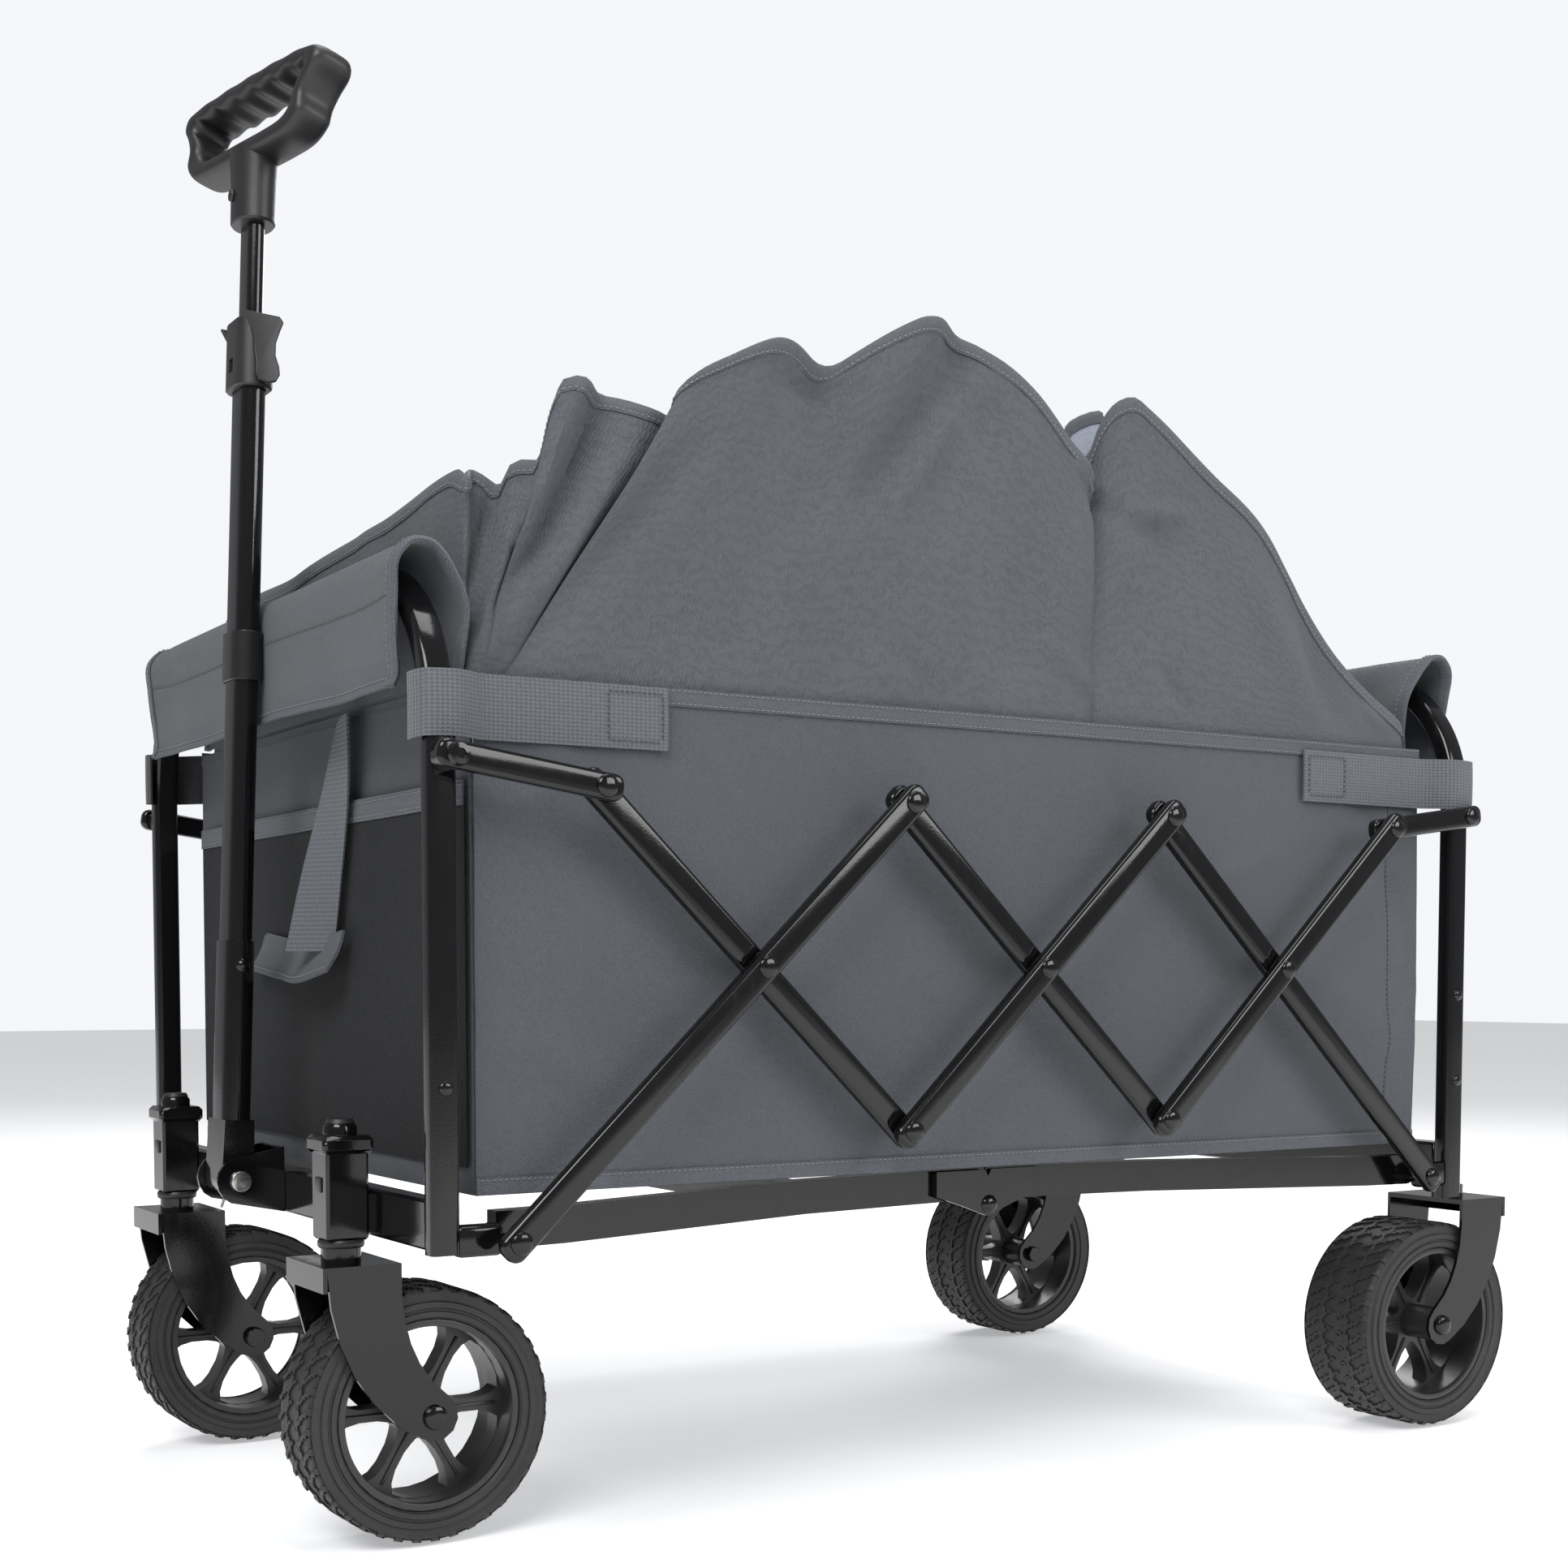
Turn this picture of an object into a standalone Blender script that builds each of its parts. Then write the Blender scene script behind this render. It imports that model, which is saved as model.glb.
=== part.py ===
"""Folding family wagon with a telescopic pull handle, in metres. +Z is up and -Y is the handle end."""

import math

import bmesh
import bpy
from mathutils import Matrix, Vector

# ---- sizes that the rest is derived from -------------------------------------------------------
GAP = 0.0003  # air between two pieces that touch
HALF_WIDTH = 0.305  # centre of the frame posts, across
HALF_LENGTH = 0.470  # centre of the frame posts, along
TUB_DEPTH = 0.332  # floor edge of the tub to its seam
ARCH_RISE = 0.081  # seam of the tub to the top of the end arches
ARCH_CORNER = 0.118  # outer bend radius of the end arches
POST_WIDE = 0.016
POST_DEEP = 0.020
RAIL_TALL = 0.033  # end cross rails
BASE_TALL = 0.025  # folding base rails
BASE_THICK = 0.014
BASE_RISE = 0.007  # how much higher the base rails are at the middle than at their ends
HINGE_CHEEK = 0.0025
PIN_R = 0.004
BAR_DEEP = 0.020
BAR_THICK = 0.010
BAR_END = 0.013  # bar left over past its last pin
CROSS_SHARE = 0.5688  # outer crossings of the scissor, as a share of the half length between base pins
SCISSOR_DEG = 43.7
WHEEL_R = 0.090
TYRE_DEEP = 0.024
FRONT_TYRE_HALF, REAR_TYRE_HALF = 0.031, 0.0365
TYRE_CLEARANCE = 0.0025  # tyre side to fork arm
TYRE_SIDES = 32
RIM_BARREL = 0.0045
AXLE_R = 0.005
FORK_SHEET = 0.003
FORK_TRAIL = 0.052
SOCKET = 0.030
STEM_R = 0.006
HANDLE_LEAN_DEG = 2.2
GRIP_TURN_DEG = 11.0
GRIP_TILT_DEG = 11.0
CLOTH = 0.0025
BOARD = 0.007

# ---- derived sizes -----------------------------------------------------------------------------
SIDES = (("left", 1.0), ("right", -1.0))
AXLE_Z = WHEEL_R
FORK_TOP = 2 * WHEEL_R + 0.017
POST_BOTTOM = FORK_TOP + 0.014
RAIL_LOW = FORK_TOP + 0.016
RAIL_HIGH = RAIL_LOW + RAIL_TALL
SOCKET_TOP = RAIL_HIGH + 0.024
BASE_LOW = FORK_TOP + 0.014
BASE_HIGH = BASE_LOW + BASE_TALL
MID_LOW, MID_HIGH = BASE_LOW + BASE_RISE, BASE_HIGH + BASE_RISE
PIN_Y, PIN_Z = HALF_LENGTH - 0.041, BASE_LOW + 0.008  # end pins of the base
HINGE_Z = PIN_Z - 0.005  # middle pin of the base, under the line of its end pins
TUB_LOW = max(RAIL_HIGH + 0.004, MID_HIGH + 0.007)
TUB_SEAM = TUB_LOW + TUB_DEPTH
FLOOR_LOW = TUB_LOW + 0.002
FLOOR_HIGH = FLOOR_LOW + BOARD
ARCH_TOP = TUB_SEAM + ARCH_RISE
POST_IN, POST_OUT = HALF_WIDTH - POST_WIDE / 2, HALF_WIDTH + POST_WIDE / 2
BASE_END_X = POST_IN - BASE_THICK / 2
BASE_MID_X = BASE_END_X - 0.038
BASE_BEND_Y = 0.385 * PIN_Y
BAR_INNER_X = POST_OUT + 0.0022 + BAR_THICK / 2
BAR_OUTER_X = BAR_INNER_X + BAR_THICK + 0.0016
FRONT_TRACK, REAR_TRACK = HALF_WIDTH - 0.112, HALF_WIDTH - 0.023
FRONT_STEM_Y = -(HALF_LENGTH + POST_DEEP / 2 + SOCKET / 2 + 0.0015)
REAR_AXLE_Y = HALF_LENGTH - 0.025
TYRE_BORE = WHEEL_R - TYRE_DEEP
TUB_FRONT, TUB_REAR = -(HALF_LENGTH - 0.029), HALF_LENGTH - 0.030
TUB_HALF = HALF_WIDTH - 0.014
FLOOR_HALF = TUB_HALF - 0.015
LINK_PIN_Z = TUB_SEAM - 0.055
HANDLE_PIN = Vector((0.0, -(HALF_LENGTH + POST_DEEP / 2 + 0.032), RAIL_LOW + 0.025))
SLOPE = math.radians(SCISSOR_DEG)
CROSS_Y = CROSS_SHARE * PIN_Y
BAR_SHORT = CROSS_Y / 2 / math.cos(SLOPE)
BAR_LONG = (PIN_Y - CROSS_Y) / math.cos(SLOPE)
CROSS_Z = PIN_Z + BAR_LONG * math.sin(SLOPE)
TOP_Z = CROSS_Z + BAR_SHORT * math.sin(SLOPE)
LOW_Z = CROSS_Z - BAR_SHORT * math.sin(SLOPE)

for old in list(bpy.data.objects):
    bpy.data.objects.remove(old, do_unlink=True)

wagon = bpy.data.collections.new("folding_wagon")
cutters = bpy.data.collections.new("cutters")
cutters.hide_render = True
for collection in (wagon, cutters):
    bpy.context.scene.collection.children.link(collection)

FINISHES = {
    "gloss_black_steel": ((0.010, 0.010, 0.011), 0.18, 0.0),
    "black_plastic": ((0.020, 0.020, 0.021), 0.50, 0.0),
    "rim_plastic": ((0.024, 0.024, 0.025), 0.42, 0.0),
    "tyre_rubber": ((0.030, 0.030, 0.031), 0.62, 0.0),
    "zinc_steel": ((0.62, 0.62, 0.60), 0.30, 1.0),
    "slate_fabric": ((0.072, 0.082, 0.093), 0.85, 0.0),
    "black_mesh": ((0.020, 0.021, 0.023), 0.80, 0.0),
    "webbing": ((0.105, 0.115, 0.128), 0.80, 0.0),
    "floor_felt": ((0.050, 0.052, 0.056), 0.90, 0.0),
}


def material(name, finish):
    """A Principled material of the node's own."""
    colour, roughness, metallic = FINISHES[finish]
    made = bpy.data.materials.new(name + "_" + finish)
    made.use_nodes = True
    shader = made.node_tree.nodes["Principled BSDF"]
    shader.inputs["Base Color"].default_value = (*colour, 1.0)
    shader.inputs["Roughness"].default_value = roughness
    shader.inputs["Metallic"].default_value = metallic
    return made


def from_bmesh(name, shape, home=cutters):
    """Turns a bmesh into an object, with its faces outwards."""
    bmesh.ops.recalc_face_normals(shape, faces=shape.faces)
    mesh = bpy.data.meshes.new(name)
    shape.to_mesh(mesh)
    shape.free()
    made = bpy.data.objects.new(name, mesh)
    home.objects.link(made)
    if home is cutters:
        made.hide_render = True
        made.display_type = "WIRE"
    return made


def baked(made):
    """The object with its modifiers applied."""
    bpy.context.view_layer.update()
    graph = bpy.context.evaluated_depsgraph_get()
    mesh = bpy.data.meshes.new_from_object(made.evaluated_get(graph))
    made.modifiers.clear()
    made.data = mesh
    return made


def combined(made, others, operation="UNION"):
    """The object joined with, or cut by, the others."""
    for other in others:
        step = made.modifiers.new(operation.lower(), "BOOLEAN")
        step.operation = operation
        step.solver = "EXACT"
        step.object = other
        baked(made)
    return made


def bevelled(made, width, segments=1, angle=40):
    """Rounds the sharp edges."""
    step = made.modifiers.new("bevel", "BEVEL")
    step.width = width
    step.segments = segments
    step.limit_method = "ANGLE"
    step.angle_limit = math.radians(angle)
    return baked(made)


def placed(made, matrix):
    """The object with its mesh moved by the matrix."""
    made.data.transform(matrix)
    if matrix.determinant() < 0:
        made.data.flip_normals()
    return made


def node(made, name, finish, origin=(0.0, 0.0, 0.0)):
    """Makes a finished shape one of the wagon's nodes, with its origin on the axis it turns about."""
    made.name = name
    made.data.name = name
    for owner in list(made.users_collection):
        owner.objects.unlink(made)
    wagon.objects.link(made)
    made.hide_render = False
    made.display_type = "TEXTURED"
    made.data.materials.clear()
    made.data.materials.append(material(name, finish))
    made.data.transform(Matrix.Translation(-Vector(origin)))
    made.location = origin
    return made


def copied(made):
    """A second object with a mesh of its own."""
    twin = made.copy()
    twin.data = made.data.copy()
    cutters.objects.link(twin)
    return twin


def slab(outline, low, high, across="X", name="slab"):
    """A closed outline pushed from low to high along one axis."""
    shape = bmesh.new()
    corners = []
    for first, second in outline:
        spot = {
            "X": (low, first, second),
            "Y": (first, low, second),
            "Z": (first, second, low),
        }[across]
        corners.append(shape.verts.new(spot))
    face = shape.faces.new(corners)
    pushed = bmesh.ops.extrude_face_region(shape, geom=[face])
    step = Vector([high - low if axis == across else 0.0 for axis in "XYZ"])
    moved = [part for part in pushed["geom"] if isinstance(part, bmesh.types.BMVert)]
    bmesh.ops.translate(shape, vec=step, verts=moved)
    return from_bmesh(name, shape)


def box(low, high, name="box"):
    """A box between two corners."""
    shape = bmesh.new()
    bmesh.ops.create_cube(shape, size=1.0)
    low, high = Vector(low), Vector(high)
    bmesh.ops.scale(shape, vec=high - low, verts=shape.verts)
    bmesh.ops.translate(shape, vec=(low + high) / 2, verts=shape.verts)
    return from_bmesh(name, shape)


def turned(profile, axis="X", centre=(0.0, 0.0, 0.0), sides=24, turn=0.0, name="turned"):
    """A closed outline of (along, radius) points spun round an axis through the centre."""
    shape = bmesh.new()
    points = [shape.verts.new((along, 0.0, radius)) for along, radius in profile]
    edges = [shape.edges.new((points[i - 1], points[i])) for i in range(len(points))]
    bmesh.ops.spin(
        shape,
        geom=points + edges,
        cent=(0, 0, 0),
        axis=(1, 0, 0),
        angle=2 * math.pi,
        steps=sides,
        use_merge=True,
    )
    bmesh.ops.remove_doubles(shape, verts=shape.verts, dist=1e-6)
    bmesh.ops.dissolve_degenerate(shape, edges=shape.edges, dist=1e-7)
    made = from_bmesh(name, shape)
    face = {
        "X": Matrix(),
        "Y": Matrix.Rotation(math.pi / 2, 4, "Z"),
        "Z": Matrix.Rotation(-math.pi / 2, 4, "Y"),
    }
    placed(made, Matrix.Translation(centre) @ face[axis] @ Matrix.Rotation(turn, 4, "X"))
    return made


def rod(low, high, radius, axis="X", centre=(0.0, 0.0, 0.0), sides=12, name="rod"):
    """A cylinder along an axis from low to high."""
    shape = bmesh.new()
    bmesh.ops.create_cone(
        shape, cap_ends=True, segments=sides, radius1=radius, radius2=radius, depth=high - low
    )
    bmesh.ops.translate(shape, vec=(0, 0, (low + high) / 2), verts=shape.verts)
    made = from_bmesh(name, shape)
    face = {
        "Z": Matrix(),
        "Y": Matrix.Rotation(-math.pi / 2, 4, "X"),
        "X": Matrix.Rotation(math.pi / 2, 4, "Y"),
    }
    return placed(made, Matrix.Translation(centre) @ face[axis])


def rivet(face_x, deep_x, head_r, y, z, outward=1.0):
    """A pin along X from deep_x to face_x with a domed head outside face_x."""
    dome = 0.0035 * outward
    profile = [
        (deep_x, 0.0),
        (deep_x, PIN_R),
        (face_x, PIN_R),
        (face_x, head_r),
        (face_x + dome * 0.55, head_r * 0.82),
        (face_x + dome, head_r * 0.35),
        (face_x + dome, 0.0),
    ]
    return turned_solid(profile, (0.0, y, z))


def turned_solid(profile, centre, axis="X", sides=12, name="turned_solid"):
    """A solid of revolution whose outline starts and ends on the axis."""
    shape = bmesh.new()
    points = [shape.verts.new((along, 0.0, radius)) for along, radius in profile]
    edges = [shape.edges.new(points[i : i + 2]) for i in range(len(points) - 1)]
    bmesh.ops.spin(
        shape,
        geom=points + edges,
        cent=(0, 0, 0),
        axis=(1, 0, 0),
        angle=2 * math.pi,
        steps=sides,
        use_merge=True,
    )
    bmesh.ops.remove_doubles(shape, verts=shape.verts, dist=1e-6)
    made = from_bmesh(name, shape)
    face = {
        "X": Matrix(),
        "Y": Matrix.Rotation(math.pi / 2, 4, "Z"),
        "Z": Matrix.Rotation(-math.pi / 2, 4, "Y"),
    }
    return placed(made, Matrix.Translation(centre) @ face[axis])


def arc(centre, radius, start_deg, end_deg, steps):
    """Points along an arc, both ends included."""
    return [
        (
            centre[0] + radius * math.cos(math.radians(start_deg + (end_deg - start_deg) * i / steps)),
            centre[1] + radius * math.sin(math.radians(start_deg + (end_deg - start_deg) * i / steps)),
        )
        for i in range(steps + 1)
    ]


def ribbon(path, widths, round_start=False, round_end=False, steps=6):
    """The outline of a strip of changing half width along a path."""
    path = [Vector(point) for point in path]
    left, right, heads = [], [], []
    for i, point in enumerate(path):
        back = path[max(i - 1, 0)]
        ahead = path[min(i + 1, len(path) - 1)]
        along = (ahead - back).normalized()
        heads.append(along)
        side = Vector((-along.y, along.x)) * widths[i]
        left.append(point + side)
        right.append(point - side)

    def cap(point, along, width, sign):
        heading = math.degrees(math.atan2(along.y, along.x))
        start = heading + 90 * sign
        return [Vector(spot) for spot in arc(point, width, start, start - 180, steps)][1:-1]

    outline = list(left)
    if round_end:
        outline += cap(path[-1], heads[-1], widths[-1], 1)
    outline += right[::-1]
    if round_start:
        outline += cap(path[0], -heads[0], widths[0], 1)
    return [tuple(point) for point in outline]


def stadium(half_x, half_y, steps=6):
    """A flat oval in the plane, longer in x."""
    flat = half_x - half_y
    return arc((flat, 0.0), half_y, -90, 90, steps) + arc((-flat, 0.0), half_y, 90, 270, steps)


def oval_tube(half_x, half_y, wall, low, high, name="oval_tube"):
    """A hollow flat-oval tube standing on Z."""
    outside = slab(stadium(half_x, half_y), low, high, "Z", name)
    inside = slab(stadium(half_x - wall, half_y - wall), low - 0.01, high + 0.01, "Z")
    return combined(outside, [inside], "DIFFERENCE")


# ---- end frames --------------------------------------------------------------------------------
def arch(y, bottom):
    """An end arch: one tube bent over the width of the wagon."""
    outer = POST_OUT
    inner = outer - POST_WIDE
    bend = ARCH_CORNER
    centre = (outer - bend, ARCH_TOP - bend)
    outline = [(outer, bottom)] + arc(centre, bend, 0, 90, 7)
    outline += [(-x, z) for x, z in outline[::-1]]
    inside = [(inner, bottom)] + arc(centre, bend - POST_WIDE, 0, 90, 7)
    inside += [(-x, z) for x, z in inside[::-1]]
    made = slab(outline + inside[::-1], y - POST_DEEP / 2, y + POST_DEEP / 2, "Y", "arch")
    return bevelled(made, 0.003, 1, 60)


def pinned_arch(y, bottom, base_pin_outer_x, link_outer_x):
    """An arch with the base stubs and the pins that its linkage turns on."""
    made = arch(y, bottom)
    toward = -1.0 if y > 0 else 1.0
    pin_y = -toward * PIN_Y
    extras = []
    for _, side in SIDES:
        near_post = y + toward * (POST_DEEP / 2 - 0.002)
        stub = ribbon([(near_post, PIN_Z), (pin_y, PIN_Z)], [0.011, 0.011], False, True)
        stub_x = sorted((side * (BASE_END_X + BASE_THICK / 2 + 0.0015), side * (POST_OUT - 0.001)))
        extras.append(slab(stub, stub_x[0], stub_x[1]))
        base_pin = rivet(base_pin_outer_x, BASE_END_X - BASE_THICK / 2 - 0.0018, 0.0075, pin_y, PIN_Z)
        extras.append(base_pin if side > 0 else placed(base_pin, Matrix.Scale(-1, 4, (1, 0, 0))))
        end_head = rivet(-BASE_END_X + BASE_THICK / 2 + 0.0005, -BASE_END_X, 0.0075, pin_y, PIN_Z)
        extras.append(end_head if side < 0 else placed(end_head, Matrix.Scale(-1, 4, (1, 0, 0))))
        link_pin = rivet(link_outer_x, POST_OUT - 0.004, 0.0075, y, LINK_PIN_Z)
        extras.append(link_pin if side > 0 else placed(link_pin, Matrix.Scale(-1, 4, (1, 0, 0))))
    return combined(made, extras)


OUTER_FACE = BAR_OUTER_X + BAR_THICK / 2 + GAP
INNER_FACE = BAR_INNER_X + BAR_THICK / 2 + GAP
node(pinned_arch(-HALF_LENGTH, POST_BOTTOM, OUTER_FACE, OUTER_FACE), "front_arch", "gloss_black_steel")
node(pinned_arch(HALF_LENGTH, FORK_TOP + GAP, INNER_FACE, INNER_FACE), "rear_arch", "gloss_black_steel")


def cross_rail(y):
    """The flat tube welded between the two posts of an arch."""
    reach = HALF_WIDTH - POST_WIDE / 2 - GAP
    made = box((-reach, y - POST_DEEP / 2 + 0.002, RAIL_LOW), (reach, y + POST_DEEP / 2 - 0.002, RAIL_HIGH))
    return bevelled(made, 0.002)


def caster_socket(x, y):
    """A square socket with a flanged cap, a button on top and a collar below."""
    half = SOCKET / 2
    body = bevelled(
        box((x - half, y - half, FORK_TOP + 0.0145), (x + half, y + half, SOCKET_TOP + 0.002)), 0.002
    )
    flange = bevelled(
        box(
            (x - half - 0.003, y - half - 0.003, SOCKET_TOP),
            (x + half + 0.003, y + half + 0.003, SOCKET_TOP + 0.0125),
        ),
        0.003,
    )
    button = turned_solid(
        [(0.010, 0.0), (0.010, 0.0115), (0.018, 0.0115), (0.021, 0.009), (0.021, 0.0)],
        (x, y, SOCKET_TOP),
        "Z",
        20,
    )
    collar = rod(0.0095, 0.016, 0.0135, "Z", (x, y, FORK_TOP), 20)
    return combined(body, [flange, button, collar])


STEM_TALL = 0.063
front_rail = cross_rail(-HALF_LENGTH)
for _, side in SIDES:
    stem_x = side * FRONT_TRACK
    bore = rod(-0.01, STEM_TALL + 0.002, STEM_R + GAP, "Z", (stem_x, FRONT_STEM_Y, FORK_TOP), 20)
    weld = box(
        (stem_x - 0.011, FRONT_STEM_Y + 0.010, RAIL_LOW + 0.004),
        (stem_x + 0.011, -HALF_LENGTH, RAIL_HIGH - 0.004),
    )
    combined(front_rail, [caster_socket(stem_x, FRONT_STEM_Y), weld])
    combined(front_rail, [bore], "DIFFERENCE")
node(front_rail, "front_cross_rail", "gloss_black_steel")
node(cross_rail(HALF_LENGTH), "rear_cross_rail", "gloss_black_steel")

# ---- wheels and forks --------------------------------------------------------------------------
SIDE_TURN = math.pi / TYRE_SIDES


def tyre(half):
    """A tyre centred on the origin, standing on one of its flats."""
    grow = 1 / math.cos(math.pi / TYRE_SIDES)
    bore = TYRE_BORE + GAP
    profile = [
        (-half + 0.002, bore),
        (half - 0.002, bore),
        (half, bore + 0.002),
        (half, WHEEL_R - 0.010),
        (half - 0.005, WHEEL_R - 0.0025),
        (half - 0.012, WHEEL_R),
        (-half + 0.012, WHEEL_R),
        (-half + 0.005, WHEEL_R - 0.0025),
        (-half, WHEEL_R - 0.010),
        (-half, bore + 0.002),
    ]
    return turned([(x, r * grow) for x, r in profile], sides=TYRE_SIDES, turn=SIDE_TURN, name="tyre")


WINDOW_REACH = TYRE_BORE - RIM_BARREL - 0.0005
SPOKE = (
    (0.32, 0.0080),
    (0.393, 0.0062),
    (0.508, 0.0046),
    (0.721, 0.0046),
    (0.869, 0.0066),
    (0.975, 0.0105),
)


def window(spoke):
    """The opening between two spokes, as (y, z) points."""
    reach = [(share * WINDOW_REACH, half) for share, half in SPOKE]
    first, last = spoke * 60.0, (spoke + 1) * 60.0
    rising = [(r, first + math.degrees(half / r)) for r, half in reach]
    falling = [(r, last - math.degrees(half / r)) for r, half in reach[::-1]]
    start, end = rising[-1][1], falling[0][1]
    outer = [(WINDOW_REACH, start + (end - start) * i / 5) for i in range(1, 5)]
    points = rising + outer + falling
    return [(r * math.cos(math.radians(a)), r * math.sin(math.radians(a))) for r, a in points]


def rim(half):
    """The spoked rim: a deep barrel, six flared spokes and a hub."""
    inside, edge = TYRE_BORE - RIM_BARREL, half - 0.003
    profile = [(-edge, inside), (edge, inside), (edge, TYRE_BORE), (-edge, TYRE_BORE)]
    barrel = turned(profile, sides=TYRE_SIDES, turn=SIDE_TURN)
    disc = rod(-0.008, 0.008, TYRE_BORE - RIM_BARREL / 2, sides=TYRE_SIDES)
    placed(disc, Matrix.Rotation(SIDE_TURN, 4, "X"))
    holes = [slab(window(spoke), -0.02, 0.02) for spoke in range(6)]
    combined(disc, holes, "DIFFERENCE")
    reach = half + TYRE_CLEARANCE - 0.0008
    hub = rod(-reach, reach, 0.0145, sides=24)
    combined(barrel, [disc, hub])
    return combined(barrel, [rod(-0.06, 0.06, AXLE_R + GAP, sides=20)], "DIFFERENCE")


def fork(half, stem_top):
    """A folded-sheet fork about its stem on Z, with the axle trailing to +Y."""
    top = FORK_TOP
    path = []
    start, bend = Vector((0.003, top - 0.002)), Vector((0.003, AXLE_Z + 0.032))
    end = Vector((FORK_TRAIL, AXLE_Z))
    for i in range(7):
        t = i / 6
        path.append(start * (1 - t) ** 2 + bend * 2 * t * (1 - t) + end * t**2)
    widths = [0.0260 - 0.0090 * (i / 6) ** 1.2 for i in range(7)]
    arm = ribbon(path, widths, False, True, 6)
    inside = half + TYRE_CLEARANCE
    outside = inside + FORK_SHEET
    made = box((-outside, -0.026, top - 0.004), (outside, 0.0290, top))
    lip = box((-outside, -0.026, top - 0.017), (outside, -0.023, top - 0.002))
    stem = rod(top - 0.002, stem_top, STEM_R, "Z", sides=20)
    ring = rod(top - 0.001, top + 0.0092, 0.0135, "Z", sides=20)
    combined(made, [lip, ring, stem, slab(arm, -outside, -inside), slab(arm, inside, outside)])
    holes = rod(-0.06, 0.06, AXLE_R + GAP, centre=(0.0, FORK_TRAIL, AXLE_Z), sides=20)
    return combined(made, [holes], "DIFFERENCE")


def axle(half):
    """The axle bolt with a domed head on the outer side and a nut on the inner."""
    face = half + TYRE_CLEARANCE + FORK_SHEET + GAP
    profile = [
        (-face - 0.006, 0.0),
        (-face - 0.006, 0.0078),
        (-face, 0.0085),
        (-face, AXLE_R),
        (face, AXLE_R),
        (face, 0.0090),
        (face + 0.0030, 0.0078),
        (face + 0.0048, 0.0035),
        (face + 0.0048, 0.0),
    ]
    return turned_solid(profile, (0.0, 0.0, 0.0), sides=20)


WHEELS = {
    "front": (
        fork(FRONT_TYRE_HALF, FORK_TOP + STEM_TALL),
        axle(FRONT_TYRE_HALF),
        rim(FRONT_TYRE_HALF),
        tyre(FRONT_TYRE_HALF),
    ),
    "rear": (
        fork(REAR_TYRE_HALF, FORK_TOP + 0.0001),
        axle(REAR_TYRE_HALF),
        rim(REAR_TYRE_HALF),
        tyre(REAR_TYRE_HALF),
    ),
}


def wheel_set(end, label, side, x, stem_y, heading):
    """A fork, its axle, rim and tyre; heading is +1 where the axle trails towards +Y."""
    axle_spot = (x, stem_y + heading * FORK_TRAIL, AXLE_Z)
    turn = Matrix() if heading > 0 else Matrix.Rotation(math.pi, 4, "Z")
    fork_shape, axle_shape, rim_shape, tyre_shape = WHEELS[end]
    stem = (x, stem_y, 0.0)
    made = placed(copied(fork_shape), Matrix.Translation(stem) @ turn)
    node(made, f"{end}_{label}_fork", "gloss_black_steel", (x, stem_y, FORK_TOP))
    outward = Matrix.Rotation(0.0 if side > 0 else math.pi, 4, "Z")
    for shape, piece, finish in (
        (axle_shape, "axle", "gloss_black_steel"),
        (rim_shape, "rim", "rim_plastic"),
        (tyre_shape, "tyre", "tyre_rubber"),
    ):
        made = placed(copied(shape), Matrix.Translation(axle_spot) @ outward)
        node(made, f"{end}_{label}_{piece}", finish, axle_spot)


for label, side in SIDES:
    wheel_set("front", label, side, side * FRONT_TRACK, FRONT_STEM_Y, 1)
    wheel_set("rear", label, side, side * REAR_TRACK, REAR_AXLE_Y + FORK_TRAIL, -1)

# ---- folding base ------------------------------------------------------------------------------
def risen(made, sign):
    """The piece sloped so that it rises from the end pins to the middle."""
    slope = Matrix()
    slope[2][1] = -sign * BASE_RISE / PIN_Y
    slope[2][3] = BASE_RISE
    return placed(made, slope)


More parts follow.
